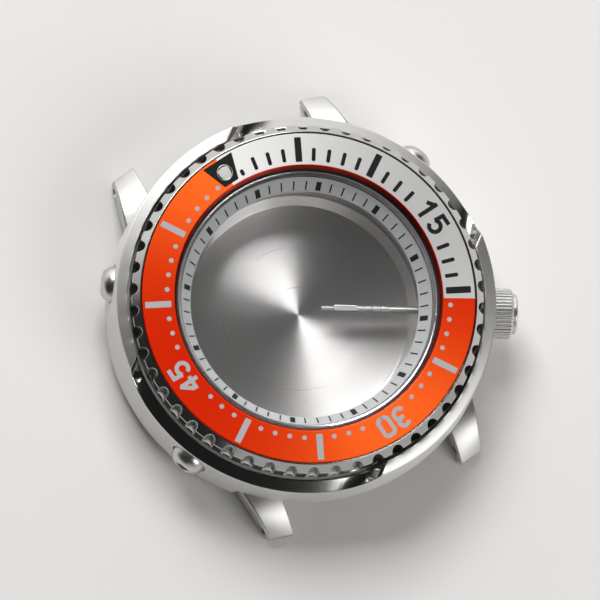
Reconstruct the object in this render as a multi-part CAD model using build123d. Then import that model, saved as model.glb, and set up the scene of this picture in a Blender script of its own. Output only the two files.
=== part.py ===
from build123d import *
import math
import os

# Empty dive-watch case with a protector ring round it. Millimetres.
# +Z points out through the crystal, +Y to 12 o'clock and +X to 3 o'clock. The origin is on the
# watch axis, at the face that the case rests on. Clock angles are degrees clockwise from 12.

# Gaps between pieces
FIT_GAP = 0.03
SEAT_GAP = 0.05
LOOSE_GAP = 0.1
CUT_OVERRUN = 1.0

# Heights of the case middle, stacked from the resting face
CASEBACK_FLANGE_HEIGHT = 1.25
CASEBACK_BORE_DEPTH = 2.1
CHAMBER_DEPTH = 5.05
CHAPTER_RING_HEIGHT = 1.95
GASKET_FOOT_HEIGHT = 0.6
CRYSTAL_HEIGHT = 1.4
NECK_ABOVE_SHELF = 1.3
SKIRT_STEP_HEIGHT = 3.1
SKIRT_SLOPE_HEIGHT = 0.3
CASE_BOTTOM_CHAMFER = 1.1

# Crystal, which the other radii are built on, its gasket and the neck of the case
CRYSTAL_RADIUS = 15.75
CRYSTAL_EDGE_CHAMFER = 0.2
CRYSTAL_GASKET_WALL = 0.5
NECK_WALL = 1.25
NECK_FLANGE_OVERHANG = 0.5
NECK_FLANGE_HEIGHT = 0.55
NECK_TOP_CHAMFER = 0.4

# Chapter ring and the chamber under it
CHAPTER_RING_UNDER_CRYSTAL = 0.35
CHAPTER_RING_WIDTH = 1.77
CHAPTER_RING_RIM_WIDTH = 0.42
CHAPTER_RING_EDGE_HEIGHT = 0.1
DIAL_LEDGE_WIDTH = 0.8
CASING_BORE_STEP = 0.2
CASING_BORE_DEPTH = 2.5
CASE_SKIRT_STEP = 0.3

# Bezel, insert and pip
INSERT_CRYSTAL_GAP = 0.25
INSERT_WIDTH = 3.8
INSERT_HEIGHT = 0.8
INSERT_EDGE_CHAMFER = 0.06
ADHESIVE_HEIGHT = 0.1
ADHESIVE_MARGIN = 0.35
BEZEL_PLATE_HEIGHT = 0.5
BEZEL_OVER_NECK = 0.2
BEZEL_LIP_WIDTH = 0.2
BEZEL_BEVEL = 0.93
BEZEL_HEIGHT = 3.65
BEZEL_BOTTOM_CHAMFER = 0.2
BEZEL_FLOAT = 0.55
BEZEL_TURNED_BACK = 10.4
FLUTE_COUNT = 50
FLUTE_RADIUS = 0.71
RIB_UNDERCUT = 0.2
RIB_BOTTOM_GAP = 0.25
BEZEL_GASKET_WALL = 0.5
BEZEL_GASKET_HEIGHT = 0.55
BEZEL_GROOVE_HEIGHT = 0.75
PIP_FROM_INNER_EDGE = 1.86
PIP_CUP_RADIUS = 0.96
PIP_CUP_WALL = 0.26
PIP_CUP_FLOOR = 0.2
PIP_CUP_PROUD = 0.05
LUME_DOME_HEIGHT = 0.08

# Click teeth under the bezel and the ring spring that they ride on
TOOTH_COUNT = 120
TOOTH_DEPTH = 0.3
TOOTH_INNER_WALL = 0.4
TOOTH_OUTER_WALL = 0.66
TOOTH_LAND = 0.07
CLICK_SPRING_HEIGHT = 0.25
CLICK_SPRING_INSIDE_TEETH = 0.05
CLICK_SPRING_PAST_TEETH = 0.25
TONGUE_COUNT = 3
TONGUE_TIP_ANGLE = 40
TONGUE_LENGTH = 4.5
TONGUE_WIDTH = 0.7
TONGUE_HEIGHT = 0.2
TONGUE_RISE = 0.21
TONGUE_ROOT_LENGTH = 0.6
TONGUE_SLOT_MARGIN = 0.15
NIB_HEIGHT = 0.2
NIB_LENGTH = 0.3
CLICK_PIN_COUNT = 2
CLICK_PIN_RADIUS = 0.35
CLICK_PIN_DEPTH = 1.0

# Protector ring
SHROUD_BEZEL_GAP = 0.33
SHROUD_TOP_WIDTH = 1.33
SHROUD_BOTTOM_WIDTH = 1.78
SHROUD_BELOW_INSERT = 2.03
SHROUD_HEIGHT = 9.22
SHROUD_EDGE_CHAMFER = 0.12
CUTOUT_CENTRES = (46, 226)
CUTOUT_HALF_WIDTH_SHARE = 16.0 / 21.29
CUTOUT_INNER_DEPTH = 1.72
CUTOUT_FALL = 0.71
CUTOUT_CORNER_RADIUS = 2.45
CUTOUT_SLOT_MARGIN = 0.04
NOTCH_INSIDE_LUG_ROOT = 0.25
NOTCH_RISE = 1.92
NOTCH_CORNER_RADIUS = 0.8

# Screws of the protector ring
SCREW_ANGLES = (60, 240, 300)
SCREW_BELOW_SHROUD_TOP = 5.27
SCREW_SEAT_WALL = 1.05
SCREW_POCKET_GAP = 0.15
SCREW_HEAD_RADIUS = 2.2
SCREW_HEAD_HEIGHT = 1.72
SCREW_HEAD_SIDE = 0.4
SCREW_HEAD_END_RADIUS = 1.25
SCREW_SHANK_RADIUS = 1.0
SCREW_SHANK_LENGTH = 3.4
SCREW_HOLE_SPARE = 0.5
SOCKET_ACROSS_FLATS = 1.5
SOCKET_DEPTH = 1.0

# Lugs
LUG_GAP = 22.0
LUG_BOTTOM = 0.35
LUG_UNDER_SHROUD_GAP = 0.07
LUG_PAST_CASE = 2.91
LUG_LENGTH = 12.1
LUG_ROOT_WIDTH = 5.0
LUG_TIP_WIDTH = 3.05
LUG_SLOPE_LENGTH = 3.7
LUG_SHOULDER_RADIUS = 4.0
LUG_NOSE_HEIGHT = 1.5
LUG_NOSE_RADIUS = 1.9
LUG_OUTER_CHAMFER = 0.35
LUG_HOLE_RADIUS = 0.6
LUG_HOLE_FROM_TIP = 2.0
LUG_HOLE_ABOVE_BOTTOM = 0.95
LUG_CASEBACK_GAP = 0.3

# Caseback
CASEBACK_INSIDE_SKIRT = 1.99
CASEBACK_FLANGE_BEVEL = 0.6
CASEBACK_PLATE_HEIGHT = 1.9
CASEBACK_BOSS_HEIGHT = 1.95
CASEBACK_FLANGE_OVERLAP = 1.5
CASEBACK_BOSS_WIDTH = 3.2
CASEBACK_THREAD_GAP = 0.08
CASEBACK_GROOVE_INNER_WALL = 1.1
CASEBACK_GROOVE_WIDTH = 1.05
CASEBACK_GROOVE_DEPTH = 0.6
WRENCH_NOTCH_COUNT = 6
WRENCH_NOTCH_WIDTH = 2.6
WRENCH_NOTCH_DEPTH = 1.1
WRENCH_NOTCH_HEIGHT = 0.75
BACK_LINE_FROM_EDGE = 6.9
BACK_LINE_WIDTH = 0.6
BACK_LINE_DEPTH = 0.15

# Crown, tube and stem. Distances along their axis are counted outwards from the watch axis.
CROWN_ANGLE = 114
CROWN_BELOW_DIAL_SEAT = 1.95
SHROUD_CROWN_GAP = 0.28
TUBE_FROM_CHAMBER = 1.0
TUBE_RADIUS = 2.1
TUBE_WALL = 0.55
TUBE_THREAD_STEP = 0.2
TUBE_THREAD_LENGTH = 2.5
TUBE_GASKET_STEP = 0.35
TUBE_GASKET_HEIGHT = 0.3
CROWN_WALL = 0.62
CROWN_PAST_SHROUD = 1.99
CROWN_CASE_GAP = 0.15
CROWN_CAVITY_GAP = 0.1
CROWN_FLOOR_HEIGHT = 0.86
CROWN_OUTER_CHAMFER = 0.45
CROWN_KNURL_COUNT = 40
CROWN_KNURL_RADIUS = 0.15
CROWN_DISC_STEP = 0.62
CROWN_DISC_HEIGHT = 0.57
CROWN_DISC_CHAMFER = 0.15
PIPE_RUNNING_GAP = 0.08
PIPE_FROM_TUBE_START = 1.4
PIPE_PRESS_DEPTH = 0.5
PIPE_WALL = 0.57
PIPE_END_WALL = 0.8
PIPE_MOUTH_STEP = 0.25
CROWN_WASHER_HEIGHT = 0.3
PIPE_GROOVE_FROM_START = 1.6
PIPE_GROOVE_WIDTH = 0.6
PIPE_GROOVE_DEPTH = 0.32
SLEEVE_RADIUS_GAP = 0.04
SLEEVE_NECK_RADIUS = 0.63
SLEEVE_NECK_LENGTH = 1.35
SLEEVE_BODY_LENGTH = 2.25
SLEEVE_HOLE_RADIUS = 0.45
SLEEVE_HOLE_DEPTH = 3.0
SPRING_WIRE_RADIUS = 0.09
SPRING_TURNS = 6
STEM_TIP = 2.25
STEM_PIVOT_LENGTH = 1.5
STEM_PIVOT_RADIUS = 0.24
STEM_SQUARE_LENGTH = 2.7
STEM_SQUARE_WIDTH = 0.74
STEM_WAIST_LENGTH = 1.3
STEM_WAIST_RADIUS = 0.31
STEM_COLLAR_LENGTH = 0.4
STEM_COLLAR_RADIUS = 0.43
STEM_GROOVE_LENGTH = 0.17
STEM_GROOVE_RADIUS = 0.24
STEM_LAND_LENGTH = 0.85
STEM_LAND_RADIUS = 0.38
STEM_SHAFT_LENGTH = 1.1
STEM_SHAFT_RADIUS = 0.31
STEM_BEARING_LENGTH = 1.05
STEM_BEARING_RADIUS = 0.43
STEM_THREAD_IN_SLEEVE = 2.8

# Heights and radii that follow from the sizes above
case_bottom = CASEBACK_FLANGE_HEIGHT + SEAT_GAP
caseback_seat = case_bottom + CASEBACK_BORE_DEPTH
casing_step = caseback_seat + CASING_BORE_DEPTH
dial_seat = caseback_seat + CHAMBER_DEPTH
chapter_top = dial_seat + CHAPTER_RING_HEIGHT
gasket_shelf = chapter_top + LOOSE_GAP
crystal_bottom = gasket_shelf + GASKET_FOOT_HEIGHT
crystal_top = crystal_bottom + CRYSTAL_HEIGHT
neck_top = gasket_shelf + NECK_ABOVE_SHELF
plate_bottom = neck_top + BEZEL_OVER_NECK
plate_top = plate_bottom + BEZEL_PLATE_HEIGHT
insert_bottom = plate_top + ADHESIVE_HEIGHT
insert_top = insert_bottom + INSERT_HEIGHT
bezel_bottom = insert_top - BEZEL_HEIGHT
case_shoulder = bezel_bottom - BEZEL_FLOAT
skirt_top = case_bottom + SKIRT_STEP_HEIGHT
shroud_top = insert_top - SHROUD_BELOW_INSERT
shroud_bottom = shroud_top - SHROUD_HEIGHT
notch_top = shroud_bottom + NOTCH_RISE
lug_top = notch_top - LUG_UNDER_SHROUD_GAP
screw_height = shroud_top - SCREW_BELOW_SHROUD_TOP
crown_height = dial_seat - CROWN_BELOW_DIAL_SEAT

click_spring_top = case_shoulder + CLICK_SPRING_HEIGHT
tongue_top = click_spring_top + TONGUE_RISE

gasket_radius = CRYSTAL_RADIUS + CRYSTAL_GASKET_WALL
neck_groove_radius = gasket_radius + NECK_WALL
neck_flange_radius = neck_groove_radius + NECK_FLANGE_OVERHANG
neck_flange_top = neck_top - NECK_TOP_CHAMFER
neck_flange_bottom = neck_flange_top - NECK_FLANGE_HEIGHT
chapter_ring_radius = CRYSTAL_RADIUS - CHAPTER_RING_UNDER_CRYSTAL
chapter_opening_radius = chapter_ring_radius - CHAPTER_RING_WIDTH
chapter_rim_radius = chapter_ring_radius - CHAPTER_RING_RIM_WIDTH
chamber_radius = chapter_ring_radius - DIAL_LEDGE_WIDTH
casing_bore_radius = chamber_radius - CASING_BORE_STEP

insert_inner_radius = CRYSTAL_RADIUS + INSERT_CRYSTAL_GAP
insert_outer_radius = insert_inner_radius + INSERT_WIDTH
pip_circle_radius = insert_inner_radius + PIP_FROM_INNER_EDGE
bezel_recess_radius = insert_outer_radius + FIT_GAP
lip_radius = bezel_recess_radius + BEZEL_LIP_WIDTH
crest_radius = lip_radius + BEZEL_BEVEL
shroud_inner_radius = crest_radius + SHROUD_BEZEL_GAP
shroud_top_radius = shroud_inner_radius + SHROUD_TOP_WIDTH
shroud_bottom_radius = shroud_inner_radius + SHROUD_BOTTOM_WIDTH
case_radius = shroud_inner_radius - LOOSE_GAP
skirt_radius = case_radius - CASE_SKIRT_STEP
rib_radius = neck_flange_radius - RIB_UNDERCUT
rib_top = neck_flange_bottom - LOOSE_GAP
bezel_groove_radius = neck_flange_radius + LOOSE_GAP + BEZEL_GASKET_WALL
pip_hole_radius = PIP_CUP_RADIUS + FIT_GAP
tooth_inner_radius = bezel_groove_radius + TOOTH_INNER_WALL
tooth_outer_radius = crest_radius - TOOTH_OUTER_WALL
tooth_middle_radius = (tooth_inner_radius + tooth_outer_radius) / 2
click_spring_inner_radius = tooth_inner_radius - CLICK_SPRING_INSIDE_TEETH
click_spring_outer_radius = tooth_outer_radius + CLICK_SPRING_PAST_TEETH
click_pin_circle_radius = (click_spring_inner_radius + click_spring_outer_radius) / 2
cutout_half_width = shroud_inner_radius * CUTOUT_HALF_WIDTH_SHARE
notch_half_width = LUG_GAP / 2 + LUG_ROOT_WIDTH - NOTCH_INSIDE_LUG_ROOT
lug_tip_reach = case_radius + LUG_PAST_CASE
lug_root_reach = lug_tip_reach - LUG_LENGTH
caseback_flange_radius = skirt_radius - CASEBACK_INSIDE_SKIRT
caseback_bore_radius = caseback_flange_radius - CASEBACK_FLANGE_OVERLAP
caseback_boss_inner_radius = caseback_bore_radius - CASEBACK_BOSS_WIDTH
caseback_groove_inner_radius = caseback_boss_inner_radius + CASEBACK_GROOVE_INNER_WALL
back_line_radius = caseback_flange_radius - BACK_LINE_FROM_EDGE
screw_seat = shroud_inner_radius + SCREW_SEAT_WALL
screw_pocket_radius = SCREW_HEAD_RADIUS + SCREW_POCKET_GAP
tube_start = chamber_radius + TUBE_FROM_CHAMBER
tube_end = case_radius + TUBE_THREAD_LENGTH
tube_bore_radius = TUBE_RADIUS - TUBE_WALL
tube_thread_radius = TUBE_RADIUS + TUBE_THREAD_STEP
tube_gasket_radius = TUBE_RADIUS + TUBE_GASKET_STEP
stem_hole_radius = tube_bore_radius + SEAT_GAP
pipe_radius = tube_bore_radius - PIPE_RUNNING_GAP
pipe_bore_radius = pipe_radius - PIPE_WALL
pipe_mouth_radius = pipe_bore_radius + PIPE_MOUTH_STEP
crown_start = case_radius + CROWN_CASE_GAP
crown_end = shroud_bottom_radius + CROWN_PAST_SHROUD
crown_floor = crown_end - CROWN_FLOOR_HEIGHT
pipe_start = tube_start + PIPE_FROM_TUBE_START
pipe_end = crown_floor + PIPE_PRESS_DEPTH
pipe_bore_end = pipe_end - PIPE_END_WALL
pipe_groove_radius = pipe_radius - PIPE_GROOVE_DEPTH
crown_cavity_radius = tube_thread_radius + CROWN_CAVITY_GAP
crown_radius = crown_cavity_radius + CROWN_WALL
crown_disc_radius = crown_radius - CROWN_DISC_STEP
shroud_crown_hole_radius = crown_radius + SHROUD_CROWN_GAP
sleeve_radius = pipe_bore_radius - SLEEVE_RADIUS_GAP
washer_hole_radius = SLEEVE_NECK_RADIUS + SEAT_GAP
stem_thread_radius = SLEEVE_HOLE_RADIUS - FIT_GAP
sleeve_body_start = pipe_start + CROWN_WASHER_HEIGHT + SEAT_GAP
sleeve_start = sleeve_body_start - SLEEVE_NECK_LENGTH
sleeve_end = sleeve_body_start + SLEEVE_BODY_LENGTH


def turned(outline):
    """Solid of revolution about Z from a closed outline of (radius, height) points."""
    with BuildPart() as solid:
        with BuildSketch(Plane.XZ):
            with BuildLine():
                Polyline(*outline, close=True)
            make_face()
        revolve(axis=Axis.Z)
    return solid.part


def ring(inner_radius, outer_radius, bottom, top):
    """Plain ring about Z between two heights."""
    outline = [(inner_radius, bottom), (outer_radius, bottom), (outer_radius, top), (inner_radius, top)]
    return turned(outline)


def rod(radius, start, end):
    """Cylinder about Z from one height to another."""
    return turned([(0, start), (radius, start), (radius, end), (0, end)])


def outward(angle, height=0):
    """Plane on the watch axis that faces out along a clock angle, with its Y pointing up."""
    direction = Vector(math.sin(math.radians(angle)), math.cos(math.radians(angle)), 0)
    return Plane(origin=(0, 0, height), x_dir=Vector(0, 0, 1).cross(direction), z_dir=direction)


def along(angle, height, solid):
    """Solid made about Z, laid down so that its Z runs out along a clock angle."""
    return outward(angle, height).location * solid


def prism(plane, outline, start, end, rounded=(), radius=0):
    """Closed outline on a plane, the listed corners rounded, extruded between two offsets of it."""
    face = make_face(Polyline(*outline, close=True))
    for corner in rounded:
        face = fillet(face.vertices().sort_by_distance(corner)[0], radius)
    return extrude(plane.offset(start) * face, amount=end - start, dir=plane.z_dir)


def spread(count, solid):
    """Copies of a solid, evenly spaced round the watch axis."""
    return [Rot(0, 0, index * 360 / count) * solid for index in range(count)]


# Case middle

def make_lug():
    """Lug at 12 o'clock, towards 3 o'clock: a side view along X, tapered in plan, outer edge bevelled."""
    inner_x = LUG_GAP / 2
    root_x = inner_x + LUG_ROOT_WIDTH
    tip_x = inner_x + LUG_TIP_WIDTH
    shoulder = (lug_tip_reach - LUG_SLOPE_LENGTH, lug_top)
    nose = (lug_tip_reach, LUG_BOTTOM + LUG_NOSE_HEIGHT)
    toe = (lug_tip_reach, LUG_BOTTOM)
    side_view = [(lug_root_reach, LUG_BOTTOM), toe, nose, shoulder, (lug_root_reach, lug_top)]
    view = make_face(Polyline(*side_view, close=True))
    for corner, radius in ((shoulder, LUG_SHOULDER_RADIUS), (nose, LUG_NOSE_RADIUS)):
        view = fillet(view.vertices().sort_by_distance(corner)[0], radius)
    lug = extrude(Plane.YZ.offset(inner_x) * view, amount=LUG_ROOT_WIDTH, dir=Plane.YZ.z_dir)
    plan = [
        (inner_x, lug_root_reach),
        (root_x, lug_root_reach),
        (tip_x, lug_tip_reach),
        (inner_x, lug_tip_reach),
    ]
    lug = lug & prism(Plane.XY, plan, 0, lug_top)
    outer_side = lug.faces().sort_by(Axis.X)[-1]
    top_edges = outer_side.edges().sort_by(Axis.Z)[-1]
    lug = chamfer(top_edges, LUG_OUTER_CHAMFER)
    hole = (lug_tip_reach - LUG_HOLE_FROM_TIP, LUG_BOTTOM + LUG_HOLE_ABOVE_BOTTOM)
    lug -= extrude(Plane.YZ * Pos(*hole) * Circle(LUG_HOLE_RADIUS), amount=root_x, dir=Plane.YZ.z_dir)
    return lug - rod(caseback_flange_radius + LUG_CASEBACK_GAP, 0, lug_top)


def make_mid_case():
    """Turned steel middle: neck, crystal shelf, dial seat, stepped chamber, back thread and four lugs."""
    core = turned([
        (caseback_bore_radius, case_bottom),
        (skirt_radius - CASE_BOTTOM_CHAMFER, case_bottom),
        (skirt_radius, case_bottom + CASE_BOTTOM_CHAMFER),
        (skirt_radius, skirt_top),
        (case_radius, skirt_top + SKIRT_SLOPE_HEIGHT),
        (case_radius, case_shoulder),
        (neck_groove_radius, case_shoulder),
        (neck_groove_radius, neck_flange_bottom),
        (neck_flange_radius, neck_flange_bottom),
        (neck_flange_radius, neck_flange_top),
        (neck_flange_radius - NECK_TOP_CHAMFER, neck_top),
        (gasket_radius, neck_top),
        (gasket_radius, gasket_shelf),
        (chapter_ring_radius + SEAT_GAP, gasket_shelf),
        (chapter_ring_radius + SEAT_GAP, dial_seat),
        (chamber_radius, dial_seat),
        (chamber_radius, casing_step),
        (casing_bore_radius, casing_step),
        (casing_bore_radius, caseback_seat),
        (caseback_bore_radius, caseback_seat),
    ])
    lug = make_lug()
    left_lug = mirror(lug, about=Plane.YZ)
    middle = core + [lug, left_lug, mirror(lug, about=Plane.XZ), mirror(left_lug, about=Plane.XZ)]
    crown_holes = [
        rod(stem_hole_radius, chamber_radius - CUT_OVERRUN, tube_start),
        rod(TUBE_RADIUS + FIT_GAP, tube_start, case_radius + CUT_OVERRUN),
        rod(tube_gasket_radius + FIT_GAP, case_radius - TUBE_GASKET_HEIGHT, case_radius + CUT_OVERRUN),
    ]
    screw_hole_start = screw_seat - SCREW_SHANK_LENGTH - SCREW_HOLE_SPARE
    screw_hole = rod(SCREW_SHANK_RADIUS + FIT_GAP, screw_hole_start, case_radius + CUT_OVERRUN)
    pin_hole = rod(CLICK_PIN_RADIUS, case_shoulder - CLICK_PIN_DEPTH, case_shoulder + CUT_OVERRUN)
    cutters = [along(CROWN_ANGLE, crown_height, hole) for hole in crown_holes]
    cutters += [along(angle, screw_height, screw_hole) for angle in SCREW_ANGLES]
    cutters += spread(CLICK_PIN_COUNT, Pos(0, click_pin_circle_radius, 0) * pin_hole)
    return middle - cutters


# Crystal, its gasket and the chapter ring

def make_crystal():
    """Flat glass disc with a polished chamfer."""
    return turned([
        (0, crystal_bottom),
        (CRYSTAL_RADIUS, crystal_bottom),
        (CRYSTAL_RADIUS, crystal_top - CRYSTAL_EDGE_CHAMFER),
        (CRYSTAL_RADIUS - CRYSTAL_EDGE_CHAMFER, crystal_top),
        (0, crystal_top),
    ])


def make_crystal_gasket():
    """L-section ring: a wall round the crystal and a foot under its edge."""
    return turned([
        (chapter_rim_radius, gasket_shelf),
        (gasket_radius, gasket_shelf),
        (gasket_radius, neck_top),
        (CRYSTAL_RADIUS, neck_top),
        (CRYSTAL_RADIUS, crystal_bottom),
        (chapter_rim_radius, crystal_bottom),
    ])


def make_chapter_ring():
    """Sloping ring that stands on the dial seat, just under the crystal gasket."""
    return turned([
        (chapter_opening_radius, dial_seat),
        (chapter_ring_radius, dial_seat),
        (chapter_ring_radius, chapter_top),
        (chapter_rim_radius, chapter_top),
        (chapter_opening_radius, dial_seat + CHAPTER_RING_EDGE_HEIGHT),
    ])


# Bezel group

def make_bezel():
    """Fluted ring with a recess for the insert, a snap rib under the neck flange and click teeth."""
    blank = turned([
        (insert_inner_radius, plate_bottom),
        (insert_inner_radius, plate_top),
        (bezel_recess_radius, plate_top),
        (bezel_recess_radius, insert_top),
        (lip_radius, insert_top),
        (crest_radius, insert_top - BEZEL_BEVEL),
        (crest_radius, bezel_bottom + BEZEL_BOTTOM_CHAMFER),
        (crest_radius - BEZEL_BOTTOM_CHAMFER, bezel_bottom),
        (bezel_groove_radius, bezel_bottom),
        (bezel_groove_radius, bezel_bottom + RIB_BOTTOM_GAP),
        (rib_radius, bezel_bottom + RIB_BOTTOM_GAP),
        (rib_radius, rib_top),
        (bezel_groove_radius, rib_top),
        (bezel_groove_radius, rib_top + BEZEL_GROOVE_HEIGHT),
        (neck_flange_radius + LOOSE_GAP, rib_top + BEZEL_GROOVE_HEIGHT),
        (neck_flange_radius + LOOSE_GAP, plate_bottom),
    ])
    flute = Pos(0, crest_radius, 0) * rod(FLUTE_RADIUS, bezel_bottom - CUT_OVERRUN, insert_top + CUT_OVERRUN)
    blank -= spread(FLUTE_COUNT, Rot(0, 0, BEZEL_TURNED_BACK + 180 / FLUTE_COUNT) * flute)
    ramp_length = 2 * math.pi * tooth_middle_radius / TOOTH_COUNT - TOOTH_LAND
    tooth_outline = [
        (0, bezel_bottom - CUT_OVERRUN),
        (0, bezel_bottom + TOOTH_DEPTH),
        (-ramp_length, bezel_bottom),
        (-ramp_length, bezel_bottom - CUT_OVERRUN),
    ]
    gap_angle = math.degrees(SEAT_GAP / tooth_middle_radius)
    tooth_plane = outward(TONGUE_TIP_ANGLE - gap_angle)
    tooth = prism(tooth_plane, tooth_outline, tooth_inner_radius, tooth_outer_radius)
    return blank - spread(TOOTH_COUNT, tooth)


def make_bezel_insert():
    """Flat aluminium ring with a hole for the pip."""
    flat = turned([
        (insert_inner_radius, insert_bottom),
        (insert_outer_radius, insert_bottom),
        (insert_outer_radius, insert_top - INSERT_EDGE_CHAMFER),
        (insert_outer_radius - INSERT_EDGE_CHAMFER, insert_top),
        (insert_inner_radius + INSERT_EDGE_CHAMFER, insert_top),
        (insert_inner_radius, insert_top - INSERT_EDGE_CHAMFER),
    ])
    hole = rod(pip_hole_radius, insert_bottom - CUT_OVERRUN, insert_top + CUT_OVERRUN)
    return flat - at_pip(hole)


def at_pip(solid):
    """Solid made about Z, moved to the pip of the bezel as it stands at rest."""
    return Rot(0, 0, BEZEL_TURNED_BACK) * Pos(0, pip_circle_radius, 0) * solid


def make_insert_adhesive():
    """Thin double-sided ring under the insert."""
    inner_radius = insert_inner_radius + ADHESIVE_MARGIN
    return ring(inner_radius, insert_outer_radius - ADHESIVE_MARGIN, plate_top, insert_bottom)


def make_pip_cup():
    """Steel cup that stands in the insert's hole, a little proud of it."""
    lume_radius = PIP_CUP_RADIUS - PIP_CUP_WALL
    cup_top = insert_top + PIP_CUP_PROUD
    return at_pip(turned([
        (0, insert_bottom),
        (PIP_CUP_RADIUS, insert_bottom),
        (PIP_CUP_RADIUS, cup_top),
        (lume_radius, cup_top),
        (lume_radius, insert_bottom + PIP_CUP_FLOOR),
        (0, insert_bottom + PIP_CUP_FLOOR),
    ]))


def make_lume_pip():
    """Bead of luminous resin in the cup, with a low domed top."""
    lume_radius = PIP_CUP_RADIUS - PIP_CUP_WALL
    floor = insert_bottom + PIP_CUP_FLOOR
    rim = insert_top - LUME_DOME_HEIGHT
    dome_radius = (lume_radius ** 2 + LUME_DOME_HEIGHT ** 2) / (2 * LUME_DOME_HEIGHT)
    with BuildPart() as bead:
        with BuildSketch(Plane.XZ):
            with BuildLine():
                Polyline((0, insert_top), (0, floor), (lume_radius, floor), (lume_radius, rim))
                RadiusArc((lume_radius, rim), (0, insert_top), -dome_radius)
            make_face()
        revolve(axis=Axis.Z)
    return at_pip(bead.part)


def make_bezel_gasket():
    """Ring in the bezel's groove, which rubs on the flange of the neck."""
    return ring(neck_flange_radius + LOOSE_GAP, bezel_groove_radius, rib_top, rib_top + BEZEL_GASKET_HEIGHT)


def make_click_spring():
    """Flat ring spring with slotted tongues, whose nibs stand in the bezel's teeth."""
    spring = ring(click_spring_inner_radius, click_spring_outer_radius, case_shoulder, click_spring_top)
    tongue_outline = [
        (-TONGUE_LENGTH, click_spring_top - TONGUE_HEIGHT),
        (-TONGUE_LENGTH, click_spring_top),
        (-NIB_LENGTH, tongue_top),
        (-NIB_LENGTH, tongue_top + NIB_HEIGHT),
        (0, tongue_top + NIB_HEIGHT),
        (0, tongue_top - TONGUE_HEIGHT),
    ]
    slot_outline = [
        (TONGUE_ROOT_LENGTH - TONGUE_LENGTH, case_shoulder - CUT_OVERRUN),
        (TONGUE_ROOT_LENGTH - TONGUE_LENGTH, click_spring_top + CUT_OVERRUN),
        (TONGUE_SLOT_MARGIN, click_spring_top + CUT_OVERRUN),
        (TONGUE_SLOT_MARGIN, case_shoulder - CUT_OVERRUN),
    ]
    inner = tooth_middle_radius - TONGUE_WIDTH / 2
    outer = tooth_middle_radius + TONGUE_WIDTH / 2
    plane = outward(TONGUE_TIP_ANGLE)
    slot = prism(plane, slot_outline, inner - TONGUE_SLOT_MARGIN, outer + TONGUE_SLOT_MARGIN)
    spring -= spread(TONGUE_COUNT, slot)
    spring += spread(TONGUE_COUNT, prism(plane, tongue_outline, inner, outer))
    pin_hole = rod(CLICK_PIN_RADIUS, case_shoulder - CUT_OVERRUN, click_spring_top + CUT_OVERRUN)
    return spring - spread(CLICK_PIN_COUNT, Pos(0, click_pin_circle_radius, 0) * pin_hole)


def make_click_spring_pins():
    """Pins pressed into the case shoulder through the click spring."""
    pin = rod(CLICK_PIN_RADIUS, case_shoulder - CLICK_PIN_DEPTH, click_spring_top)
    return Compound(children=spread(CLICK_PIN_COUNT, Pos(0, click_pin_circle_radius, 0) * pin))


# Protector ring and its screws

def make_shroud():
    """Conical ring with two low cut-outs on top, raised edges over the lugs, a crown hole and pockets."""
    edge = SHROUD_EDGE_CHAMFER
    shroud = turned([
        (shroud_inner_radius, shroud_bottom),
        (shroud_bottom_radius - edge, shroud_bottom),
        (shroud_bottom_radius, shroud_bottom + edge),
        (shroud_top_radius, shroud_top - edge),
        (shroud_top_radius - edge, shroud_top),
        (shroud_inner_radius + edge, shroud_top),
        (shroud_inner_radius, shroud_top - edge),
    ])
    over_top = shroud_top + CUT_OVERRUN
    inner = shroud_inner_radius - CUT_OVERRUN
    outer = shroud_top_radius + CUT_OVERRUN
    fall_rate = CUTOUT_FALL / SHROUD_TOP_WIDTH
    floor_inner = shroud_top - CUTOUT_INNER_DEPTH + CUT_OVERRUN * fall_rate
    floor_outer = shroud_top - CUTOUT_INNER_DEPTH - CUTOUT_FALL - CUT_OVERRUN * fall_rate
    above_floor = turned([(inner, floor_inner), (outer, floor_outer), (outer, over_top), (inner, over_top)])
    slot_floor = shroud_top - CUTOUT_INNER_DEPTH - CUTOUT_FALL - CUTOUT_SLOT_MARGIN
    slot_corners = [(-cutout_half_width, slot_floor), (cutout_half_width, slot_floor)]
    slot_outline = slot_corners + [(cutout_half_width, over_top), (-cutout_half_width, over_top)]
    for centre in CUTOUT_CENTRES:
        slot = prism(outward(centre), slot_outline, 0, outer, slot_corners, CUTOUT_CORNER_RADIUS)
        shroud -= above_floor & slot
    mouth = notch_half_width + 2 * NOTCH_CORNER_RADIUS
    under_bottom = shroud_bottom - CUT_OVERRUN
    notch_corners = [
        (-notch_half_width, shroud_bottom),
        (-notch_half_width, notch_top),
        (notch_half_width, notch_top),
        (notch_half_width, shroud_bottom),
    ]
    notch_outline = [(-mouth, under_bottom), (-mouth, shroud_bottom)] + notch_corners
    notch_outline += [(mouth, shroud_bottom), (mouth, under_bottom)]
    outside = shroud_bottom_radius + CUT_OVERRUN
    shroud -= prism(outward(0), notch_outline, -outside, outside, notch_corners, NOTCH_CORNER_RADIUS)
    crown_hole = rod(shroud_crown_hole_radius, inner, outside)
    screw_hole = rod(SCREW_SHANK_RADIUS + FIT_GAP, inner, screw_seat + CUT_OVERRUN)
    pocket = rod(screw_pocket_radius, screw_seat, outside)
    cutters = [along(CROWN_ANGLE, crown_height, crown_hole)]
    cutters += [along(angle, screw_height, screw_hole) for angle in SCREW_ANGLES]
    cutters += [along(angle, screw_height, pocket) for angle in SCREW_ANGLES]
    return shroud - cutters


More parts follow.
